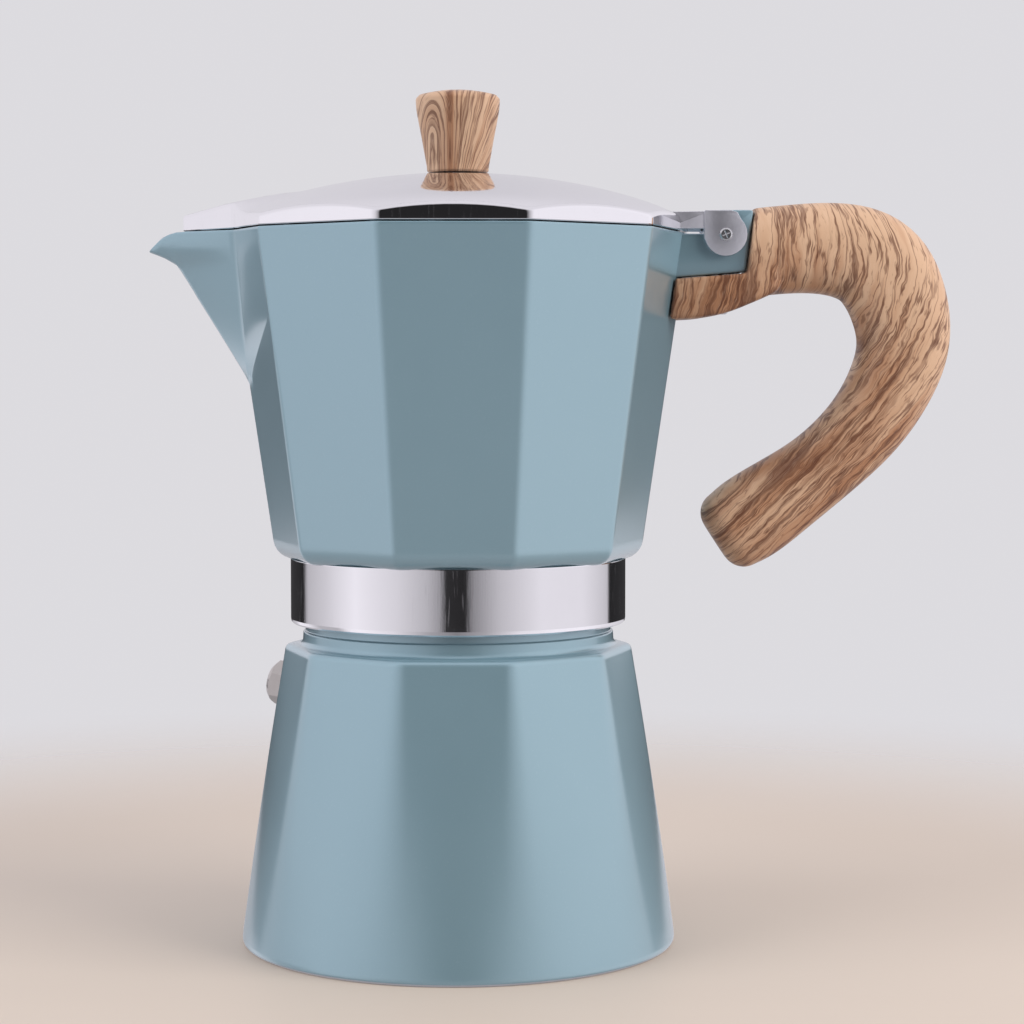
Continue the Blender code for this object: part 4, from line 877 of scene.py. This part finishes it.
def combined(piece, operation, *others):
    """Applies Booleans with these shapes, which are used up, and leaves a plain mesh."""
    for other in others:
        step = piece.modifiers.new(other.name, "BOOLEAN")
        step.operation = operation
        step.object = other
        step.solver = "EXACT"
    mesh = plain_mesh(piece)
    piece.modifiers.clear()
    piece.data = mesh
    for other in others:
        bpy.data.objects.remove(other, do_unlink=True)
    mesh.shade_smooth()
    mesh.set_sharp_from_angle(angle=SHARP)
    return piece


pin_low, pin_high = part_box("hinge_pin")
pin_x = (pin_low.x + pin_high.x) / 2
pin_z = (pin_low.z + pin_high.z) / 2
lug_end = chamber_high.x
lug_top = RIM_Z + 0.0050
lug_bottom = RIM_Z - 0.0103
LUG_HALF_WIDTH = 0.0060
LUG_ROOT = 0.0485  # where it starts, inside the chamber's wall
lug = cut_slab("hinge_lug", [
    (LUG_ROOT, lug_bottom, 0.0002), (lug_end - 0.0018, lug_bottom + 0.0013, 0.0012),
    (lug_end, lug_top, 0.0007), (pin_x - 0.0013, lug_top, 0.0006), (pin_x - 0.0045, pin_z + 0.0016, 0.0006),
    (pin_x - 0.0045, RIM_Z - 0.0003, 0.0004), (LUG_ROOT, RIM_Z - 0.0003, 0.0002),
], -LUG_HALF_WIDTH, LUG_HALF_WIDTH, 0.0005, paint)
screw_low, screw_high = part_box("handle_screw")
screw_x = (screw_low.x + screw_high.x) / 2
lug = combined(
    lug, "DIFFERENCE",
    rod("pin_bore", (pin_x, -0.01, pin_z), (pin_x, 0.01, pin_z), 0.0016, bare),
    rod("screw_bore", (screw_x, 0, lug_bottom - 0.002), (screw_x, 0, screw_high.z + 0.0006), 0.0022, bare),
)
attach(lug, "upper")
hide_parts("upper_chamber")


# ---- Riser column ---------------------------------------------------------------------------------
# The tube pressed into the chamber's floor that the coffee rises through, with a small steel cap on
# top whose side outlets turn the coffee down into the chamber.

column_low, column_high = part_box("riser_column")
cap_low, cap_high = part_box("column_cap")
column = turned("riser_tube", [
    (0.0075, column_low.z, 0.0003), (0.0068, column_low.z + 0.0020, 0.0008),
    (0.0056, column_low.z + 0.0085, 0.004), (0.0048, column_high.z, 0.0003),
    (0.0032, column_high.z, 0.0003), (0.0032, column_low.z, 0.0003),
], bare, 64, 4)
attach(column, "upper")
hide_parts("riser_column")

cap_outer, cap_inner = cap_high.x, cap_high.x - 0.0008
cap_profile = rounded([
    (cap_inner, cap_low.z, 0), (cap_outer, cap_low.z, 0.0002), (cap_outer, cap_high.z - 0.0008, 0.0012),
    (cap_outer * 0.6, cap_high.z, 0.0015), (0.0004, cap_high.z, 0),
])
cap_inside = rounded([
    (cap_inner, cap_low.z - 0.001, 0), (cap_inner, cap_high.z - 0.0018, 0.001),
    (cap_inner * 0.5, cap_high.z - 0.0009, 0.001), (0.0004, cap_high.z - 0.0009, 0),
])
cap = skin("spray_cap", [round_ring(r, z, 48) for r, z in cap_profile], steel)
cutter = skin("cap_inside", [round_ring(r, z, 48) for r, z in cap_inside], steel)
outlets = [cutter]
outlet_z = column_high.z + 0.0013
for i in range(2):
    side = Matrix.Rotation(i * math.pi / 2, 3, "Z") @ Vector((0, 0.008, 0))
    drop = Vector((0, 0, outlet_z))
    outlets.append(rod(f"outlet_{i}", drop - side, drop + side, 0.0011, steel, count=16))
cap = combined(cap, "DIFFERENCE", *outlets)
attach(cap, "upper")
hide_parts("column_cap")


# ---- Lid ------------------------------------------------------------------------------------------
# Cast aluminium, mirror polished: a shallow dome cut off square by ten flat sides, with a beak that
# covers the spout and two arms at the back that carry the hinge's ears.

LID_TOP = 0.1756
DOME = 0.0098
EDGE_FALL = 0.125
lid_bottom = RIM_Z + 0.0003
LID_SHEET = 0.0012
BEAK_END_X = -0.0622
BEAK_HALF_WIDTH = 0.0036
LID_REACH = 0.0515  # from the axis to the outline, about the middle of its range
dome_arc = (RIM_RADIUS ** 2 + DOME ** 2) / (2 * DOME)


def lid_height(px, py):
    """The lid's upper face: a dome that falls away at its edge, with the beak's sloping ridge on it."""
    radius = math.hypot(px, py)
    drop = dome_arc - math.sqrt(dome_arc ** 2 - radius ** 2)
    dome = LID_TOP - drop * (1 + EDGE_FALL * (radius / RIM_RADIUS) ** 8)
    ridge = 0.1660 + 0.190 * (px - BEAK_END_X)
    if ridge < dome:
        return dome
    across_share = clamped((0.0215 - abs(py)) / 0.0075)
    inner_share = clamped((-0.0330 - px) / 0.0070)
    share = across_share ** 2 * (3 - 2 * across_share) * inner_share ** 2 * (3 - 2 * inner_share)
    return dome + (ridge - dome) * share


def lid_plan(shrink):
    """The lid's outline: ten-sided, with the beak in place of the corner at -X."""
    radius = RIM_RADIUS - 0.0001 - shrink / math.cos(HALF_FACET)
    corners = []
    for i in range(10):
        angle = 2 * HALF_FACET * i
        if i != 5:
            corners.append((radius * math.cos(angle), radius * math.sin(angle), 0.0007))
            continue
        end_x = BEAK_END_X + shrink
        beak_root = (-0.0497 + shrink * 0.7, 0.0158 - shrink, 0.0011)
        beak = [beak_root, (end_x, BEAK_HALF_WIDTH - 0.6 * shrink, 0.0005)]
        corners += beak + [(cx, -cy, r) for cx, cy, r in reversed(beak)]
    path_points = rounded(corners, looped=True, steps=4, guard=0.0002)
    fine = []
    for here, after in zip(path_points, path_points[1:] + path_points[:1]):
        pieces = max(1, round(np.linalg.norm(after - here) / 0.0035))
        fine += [here + (after - here) * k / pieces for k in range(pieces)]
    return fine


plan = lid_plan(0)


def lid_ring(share_out, sink, under=0.0):
    """A ring of the lid's face, a share of the way out to its outline."""
    ring = []
    for px, py in plan:
        x, y = px * share_out, py * share_out
        ring.append(Vector((x, y, lid_height(x, y) - sink - under)))
    return ring


CREASE = 0.0007
shares_in = [0.02, 0.06] + list(np.linspace(0.10, 0.97, 46)) + [0.98, 0.987]
rings = [lid_ring(share_in, 0) for share_in in shares_in]
for step in range(5):
    angle = math.radians(22.5 * step)
    back, sink = CREASE * (1 - math.sin(angle)), CREASE * (1 - math.cos(angle))
    rings.append(lid_ring(1 - back / LID_REACH, sink))
rings.append(lid_ring(1, CREASE + 0.00015))
rings.append([Vector((px, py, lid_bottom + 0.0006)) for px, py in plan])
rings.append([Vector((px, py, lid_bottom + 0.0002)) for px, py in plan])
rings.append([Vector((px * 0.9965, py * 0.9965, lid_bottom)) for px, py in plan])
inner_share = 1 - 0.0014 / LID_REACH
rings.append([Vector((px * inner_share, py * inner_share, lid_bottom)) for px, py in plan])
rings.append([
    Vector((px * inner_share, py * inner_share, lid_height(px, py) - LID_SHEET - 0.0004)) for px, py in plan
])
rings += [lid_ring(share_in, 0, LID_SHEET) for share_in in [0.96] + list(np.linspace(0.92, 0.06, 24))]
lid = skin("lid_casting", rings, polished)

satin, satin_shader, at = new_finish("satin_aluminium", {"Metallic": 1.0})
place = at.coordinates()
haze = place.noise(160.0, 3.0)
at.plug(satin_shader.inputs["Base Color"], at.blend(haze, (0.84, 0.84, 0.89, 1), (0.92, 0.92, 0.96, 1)))
at.plug(satin_shader.inputs["Roughness"], 0.30 + 0.16 * haze)
at.plug(satin_shader.inputs["Normal"], place.noise(1300.0, 2.0).bump(0.00003))

EAR_INSIDE = 0.0063
EAR_OUTSIDE = 0.0080
EAR_RADIUS = 0.00485
ear_top = pin_z + 0.0054
ears = []
for side in (-1, 1):
    name = "near_ear" if side < 0 else "far_ear"
    low_y, high_y = sorted((side * EAR_INSIDE, side * EAR_OUTSIDE))
    corners = [(pin_x - 0.0049, ear_top, 0.0003), (pin_x - 0.0049, pin_z - 0.001, 0.0006)]
    for degrees in range(195, 411, 15):
        angle = math.radians(degrees)
        corners.append((pin_x + EAR_RADIUS * math.cos(angle), pin_z + EAR_RADIUS * math.sin(angle), 0.002))
    corners += [(pin_x + 0.0026, ear_top - 0.0004, 0.0008), (pin_x + 0.0012, ear_top, 0.0008)]
    ears.append(cut_slab(name, corners, low_y, high_y, 0.0002, satin))
    arm_low, arm_high = sorted((side * EAR_INSIDE, side * (EAR_OUTSIDE - 0.0004)))
    arm = [
        (0.0470, lid_bottom + 0.0004, 0.0002), (pin_x - 0.0040, lid_bottom + 0.0004, 0.0004),
        (pin_x - 0.0040, ear_top - 0.0002, 0.0002), (0.0478, ear_top - 0.0003, 0.0004),
    ]
    ears.append(cut_slab(name.replace("ear", "arm"), arm, arm_low, arm_high, 0.0002, satin))
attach(lid, "lid")
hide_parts("lid")
for ear in ears:
    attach(ear, "lid")


# ---- Hinge pin ------------------------------------------------------------------------------------
# A steel pin through the ears and the lug, its two ends peened over into shallow heads, each with
# the small cross left by the peening tool.

pin_end = pin_high.y
pin_profile = [(0.0004, -pin_end)] + rounded([
    (0.0011, -pin_end, 0), (0.0015, -pin_end + 0.0003, 0.0002), (0.0015, -pin_end + 0.0006, 0.0001),
    (0.0013, -pin_end + 0.0007, 0.0001), (0.0013, pin_end - 0.0007, 0.0001),
    (0.0015, pin_end - 0.0006, 0.0001), (0.0015, pin_end - 0.0003, 0.0002), (0.0011, pin_end, 0),
], steps=2, guard=0.00005) + [(0.0004, pin_end)]
pin = skin("peened_pin", [
    [Vector((pin_x + v.x, length, pin_z + v.y)) for v in round_ring(r, 0, 32)] for r, length in pin_profile
], steel)
marks = []
for side in (-1, 1):
    for i in range(2):
        mark_angle = i * math.pi / 2 + 0.4
        along_mark = Vector((math.cos(mark_angle), 0, math.sin(mark_angle))) * 0.0009
        middle_mark = Vector((pin_x, side * (pin_end + 0.00005), pin_z))
        mark_ends = middle_mark - along_mark, middle_mark + along_mark
        marks.append(rod(f"mark_{side}_{i}", *mark_ends, 0.00016, steel, count=6))
pin = combined(pin, "DIFFERENCE", *marks)
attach(pin, "upper")
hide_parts("hinge_pin")


# ---- Knob -----------------------------------------------------------------------------------------
# Moulded heat-proof plastic printed with a wood grain, on a brass insert, held by a screw that comes
# up through the lid with a washer under its head.

def wood_finish(name):
    """Printed wood grain. The print's run is in the 'grain' attribute: across, along and tone; the tone is
    the print's own seam on the knob and painted shade and light on the handle.
    """
    made, shader, at = new_finish(name, {
        "Specular IOR Level": 0.35, "Coat Roughness": 0.25, "Coat Weight": 0.12,
    })
    run = at.node("ShaderNodeAttribute", {"attribute_name": "grain"}, {}, "Vector")
    run_across, run_along, print_tone_and_painted_shade = run.axes()
    place = at.coordinates()
    waver = run.stretched(170, 75, 0).noise(1.0, 2.0) - 0.5
    ripple = run.stretched(420, 330, 0).noise(1.0, 1.0) - 0.5
    swerve = run_across + 0.0034 * waver + 0.0011 * ripple
    flow = at.node("ShaderNodeCombineXYZ", {}, {0: swerve, 1: run_along, 2: place.axes()[1] * 0.25})
    bands = flow.stretched(230, 14, 90).noise(1.0, 2.0, 0.6)
    streaks = flow.stretched(640, 26, 160).noise(1.0, 3.0, 0.7)
    fibres = flow.stretched(5200, 300, 900).noise(1.0, 2.0)
    vein = 1 - at.maths("ABSOLUTE", flow.stretched(380, 26, 60).noise(1.0, 3.0, 0.6) - 0.5).eased(0.0, 0.038)
    pores = flow.stretched(1500, 330, 900).noise(1.0, 2.0).eased(0.57, 0.68)
    light, warm, dark = (0.600, 0.392, 0.255, 1), (0.400, 0.200, 0.106, 1), (0.115, 0.040, 0.020, 1)
    # The tone darkens the print: on the knob it is the print's seam, on the handle it is painted shade and
    # painted light.
    colour = at.blend((bands + print_tone_and_painted_shade).eased(0.34, 0.72), light, warm)
    colour = at.blend((streaks + 0.5 * print_tone_and_painted_shade).eased(0.50, 0.70) * 0.75, colour, dark)
    colour = at.blend(vein * 0.80, colour, dark)
    colour = at.blend(fibres.eased(0.52, 0.80) * 0.30, colour, (0.70, 0.51, 0.37, 1))
    colour = at.blend(pores * 0.48, colour, dark)
    at.plug(shader.inputs["Base Color"], colour)
    at.plug(shader.inputs["Roughness"], 0.40 + 0.12 * streaks)
    relief = (0.6 * fibres + 0.8 * streaks).bump(0.00004)
    at.plug(shader.inputs["Normal"], relief)
    return made


def print_grain(piece, run):
    """Stores the print's run on the piece: run(x, y, z) gives across, along and tone at a point; on the
    handle the tone carries painted shade and light.
    """
    grain_run = piece.data.attributes.new("grain", "FLOAT_VECTOR", "POINT")
    values = []
    for vertex in piece.data.vertices:
        values.extend(run(*vertex.co))
    grain_run.data.foreach_set("vector", values)


wood = wood_finish("wood_print")
knob_low, knob_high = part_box("knob")
KNOB_TOP_RADIUS = 0.0096
knob_rim = knob_high.z - 0.0016
knob_profile = rounded([
    (0.0022, knob_low.z, 0), (0.0066, knob_low.z, 0.0002), (0.0070, knob_low.z + 0.0004, 0.0004),
    (0.0071, knob_low.z + 0.0016, 0.003), (0.0083, knob_low.z + 0.0082, 0.03),
    (0.00945, knob_low.z + 0.0142, 0.02), (KNOB_TOP_RADIUS, knob_rim - 0.0004, 0.0011),
    (0.0088, knob_rim + 0.0004, 0.0012),
], steps=6)
knob_profile += [
    (0.0088 * (1 - t), knob_rim + 0.0004 + 0.0012 * (1 - (1 - t) ** 2)) for t in (0.12, 0.3, 0.5, 0.7, 0.9)
]
knob = skin("wood_knob", [round_ring(r, z, 96) for r, z in knob_profile], wood)
insert_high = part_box("knob_insert")[1]
bore_radius = insert_high.x + 0.0003
knob = combined(knob, "DIFFERENCE", rod(
    "knob_bore", (0, 0, knob_low.z - 0.002), (0, 0, insert_high.z + 0.0003), bore_radius, wood,
))


def knob_run(px, py, pz):
    """A dark seam just left of the front, arches beside it on the left, and a fan opening to the right."""
    around = 1.1 * px
    height = pz - knob_low.z
    from_seam = around + 0.0017
    fan = from_seam / (0.75 + 0.055 * height * 1000)
    arch = math.hypot((around + 0.0062) / 1.0, max(0.0, height - 0.0075) / 2.4)
    side_share = clamped((from_seam + 0.0012) / 0.0024)
    across_print = (0.0045 - arch) * (1 - side_share) + fan * 1.2 * side_share
    seam = 0.30 * math.exp(-(from_seam / 0.0011) ** 2)
    return 1.7 * across_print + 0.0030, height * 0.6, seam - 0.08


print_grain(knob, knob_run)
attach(knob, "lid")
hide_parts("knob")

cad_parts["knob_insert"].data.materials[0] = nickel
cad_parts["knob_washer"].data.materials[0] = steel
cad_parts["knob_screw"].data.materials[0] = steel


# ---- Handle ---------------------------------------------------------------------------------------
# The same printed plastic, one hook-shaped moulding. A lip reaches under the hinge lug to the
# chamber's wall, and one screw with a washer pulls the lip up against the lug.

HANDLE_HALF_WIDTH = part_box("handle")[1].y
LIP_DEPTH = 0.0095
LIP_ROOT = 0.0455  # inside the chamber's wall, which then cuts it to fit
NOTCH_ROOT = 0.026
lip_top = lug_bottom - 0.0003
HANDLE_STATIONS = (  # centre beyond the lug's end, centre above the rim, half thickness
    (-0.0015, -0.0046, 0.0100),
    (0.0093, -0.0035, 0.0100),
    (0.0200, -0.0035, 0.0106),
    (0.0300, -0.0074, 0.0116),
    (0.0353, -0.0223, 0.0107),
    (0.0333, -0.0317, 0.0099),
    (0.0268, -0.0432, 0.0091),
    (0.0163, -0.0534, 0.0086),
    (0.0076, -0.0596, 0.0094),
    (-0.0027, -0.0668, 0.0104),
    (-0.0064, -0.0691, 0.0088),
)


def smooth_path(points, steps):
    """A Catmull-Rom curve through the points, with this many steps between each two."""
    ends = [2 * points[0] - points[1]] + points + [2 * points[-1] - points[-2]]
    path_points = []
    for before, start_point, end_point, after in zip(ends, ends[1:], ends[2:], ends[3:]):
        for i in range(steps):
            t = i / steps
            path_points.append(0.5 * (
                2 * start_point + (end_point - before) * t
                + (2 * before - 5 * start_point + 4 * end_point - after) * t ** 2
                + (3 * start_point - before - 3 * end_point + after) * t ** 3
            ))
    return path_points + [points[-1]]


def evened(path_points, step, passes):
    """The same curve with even steps, its bends relaxed by averaging neighbours."""
    path_points = np.array(path_points)
    run = np.concatenate([[0], np.cumsum(np.linalg.norm(np.diff(path_points[:, :2], axis=0), axis=1))])
    places = np.linspace(0, run[-1], round(run[-1] / step) + 1)
    even = np.stack([np.interp(places, run, path_points[:, k]) for k in range(3)], axis=1)
    for _ in range(passes):
        even[1:-1] = 0.25 * even[:-2] + 0.5 * even[1:-1] + 0.25 * even[2:]
    return even


stations = [Vector((lug_end + sx, RIM_Z + sz, half_depth)) for sx, sz, half_depth in HANDLE_STATIONS]
END_ROUNDING = 0.0050
spine = evened(smooth_path(stations, 16), 0.0015, 20)
headings = np.gradient(spine[:, :2], axis=0)
headings /= np.linalg.norm(headings, axis=1)[:, None]
sections = [(px, pz, half, 0.0, 0.0, heading) for (px, pz, half), heading in zip(spine, headings)][:-2]
blunt = sections[-1]
for degrees in (15, 30, 45, 60, 75, 87):
    angle = math.radians(degrees)
    reach, inset = END_ROUNDING * math.sin(angle), END_ROUNDING * (1 - math.cos(angle))
    sections.append((*blunt[:3], reach, inset, blunt[5]))
rings = []
for px, pz, half, reach, inset, heading in sections:
    centre = Vector((px + heading[0] * reach, 0, pz + heading[1] * reach))
    side_up = Vector((-heading[1], 0, heading[0]))
    ring = []
    for k in range(48):
        angle = 2 * math.pi * k / 48
        high = math.copysign(abs(math.sin(angle)) ** 0.8, math.sin(angle))
        wide = math.copysign(abs(math.cos(angle)) ** 0.8, math.cos(angle))
        sideways = Vector((0, wide * (HANDLE_HALF_WIDTH - inset), 0))
        ring.append(centre + side_up * high * (half - inset) + sideways)
    rings.append(ring)
handle = skin("wood_handle", rings, wood)
lip_low = lip_top - LIP_DEPTH
lip = cut_slab("lip", [
    (LIP_ROOT, lip_low + 0.0002, 0.0026), (lug_end - 0.0130, lip_low + 0.0006, 0.03),
    (lug_end - 0.0060, lip_low + 0.0018, 0.03), (lug_end + 0.0012, lip_low + 0.0048, 0.02),
    (lug_end + 0.0060, lip_low + 0.0070, 0.0026), (lug_end + 0.0060, RIM_Z - 0.0050, 0.0026),
    (LIP_ROOT, RIM_Z - 0.0050, 0.0026),
], -HANDLE_HALF_WIDTH + 0.0002, HANDLE_HALF_WIDTH - 0.0002, 0.0014, wood)
seat_gap = 0.0003
washer_low, washer_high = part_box("handle_washer")
head_bore = (washer_high.x - washer_low.x) / 2 + 0.0003


def handle_cutters():
    """What the moulding leaves free: the lug's notch, the chamber's facets and the screw's two bores."""
    notch = cut_slab("notch", [
        (NOTCH_ROOT, lip_top, 0), (LUG_ROOT, lip_top, 0.0002),
        (lug_end - 0.0018 + seat_gap, lip_top + 0.0013, 0.0012),
        (lug_end + seat_gap, lug_top, 0.0002), (lug_end + seat_gap, lug_top + 0.02, 0.0002),
        (NOTCH_ROOT, lug_top + 0.02, 0.0002),
    ], -0.014, 0.014, 0.0001, wood)
    spare = seat_gap / math.cos(HALF_FACET) + 0.0001
    wall_seat = skin("wall_seat", [
        [Vector((
            (chamber_corner(level) + spare) * math.cos(2 * HALF_FACET * i),
            (chamber_corner(level) + spare) * math.sin(2 * HALF_FACET * i), level,
        )) for i in range(10)] for level in (CHAMBER_BOTTOM + 0.004, RIM_Z + 0.002)
    ], wood)
    low, middle, high = lip_low - 0.003, washer_high.z + 0.0003, lip_top + 0.003
    counterbore = rod("counterbore", (screw_x, 0, low), (screw_x, 0, middle), head_bore, wood)
    shank_hole = rod("shank_hole", (screw_x, 0, middle - 0.001), (screw_x, 0, high), 0.0022, wood)
    return notch, wall_seat, counterbore, shank_hole


handle = combined(handle, "DIFFERENCE", *handle_cutters())
lip = combined(lip, "DIFFERENCE", *handle_cutters())
both = bmesh.new()
both.from_mesh(handle.data)
both.from_mesh(lip.data)
both.to_mesh(handle.data)
both.free()
bpy.data.objects.remove(lip, do_unlink=True)
remesh = handle.modifiers.new("even", "REMESH")
remesh.mode = "VOXEL"
remesh.voxel_size = 0.00042
remesh.use_smooth_shade = True
soften = handle.modifiers.new("soften", "SMOOTH")
soften.factor = 0.5
soften.iterations = 6
handle_mesh = plain_mesh(handle)
handle.modifiers.clear()
handle.data = handle_mesh
handle_mesh.shade_smooth()


def handle_run(px, py, pz):
    """Upright grain in the top bar, bowed outwards, that turns below the bend to run along the arm. Its tone
    paints shade inside the bend and on the lip under the lug, paints light on the outer side, and is darker
    towards the bottom.
    """
    lean = 0.009 * math.log1p(math.exp(min(60.0, (0.138 - pz) / 0.009)))
    bow = 20.0 * max(0.0, pz - 0.150) ** 2 * clamped((px - 0.0750) / 0.030, 0.12)
    across_print = px + lean + bow + 0.10 * py
    from_bend = math.hypot(px - 0.0760, pz - 0.1290)
    below_bar = clamped((0.1500 - pz) / 0.018)
    # Painted shade: a dark band along the inside of the hook's bend, below the top bar.
    crook_painted_shade = 0.16 * math.exp(-((from_bend - 0.0190) / 0.0050) ** 2) * below_bar
    # Painted shade: the lip is darkened where it lies under the hinge lug.
    lip_painted_shade = 0.20 * clamped((0.0760 - px) / 0.012) * clamped((pz - 0.120) / 0.01)
    # A little darker towards the bottom of the arm.
    lower_arm_darkening = 0.05 * clamped((0.1200 - pz) / 0.025)
    # Painted light: the outer side of the hook, away from the bend, is made lighter.
    outer_painted_light = -0.16 * clamped((from_bend - 0.0270) / 0.008) * clamped((pz - 0.105) / 0.03)
    return across_print, pz + 0.4 * px, crook_painted_shade + lip_painted_shade + outer_painted_light + lower_arm_darkening


print_grain(handle, handle_run)
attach(handle, "upper")
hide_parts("handle")

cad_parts["handle_washer"].data.materials[0] = steel
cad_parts["handle_screw"].data.materials[0] = steel
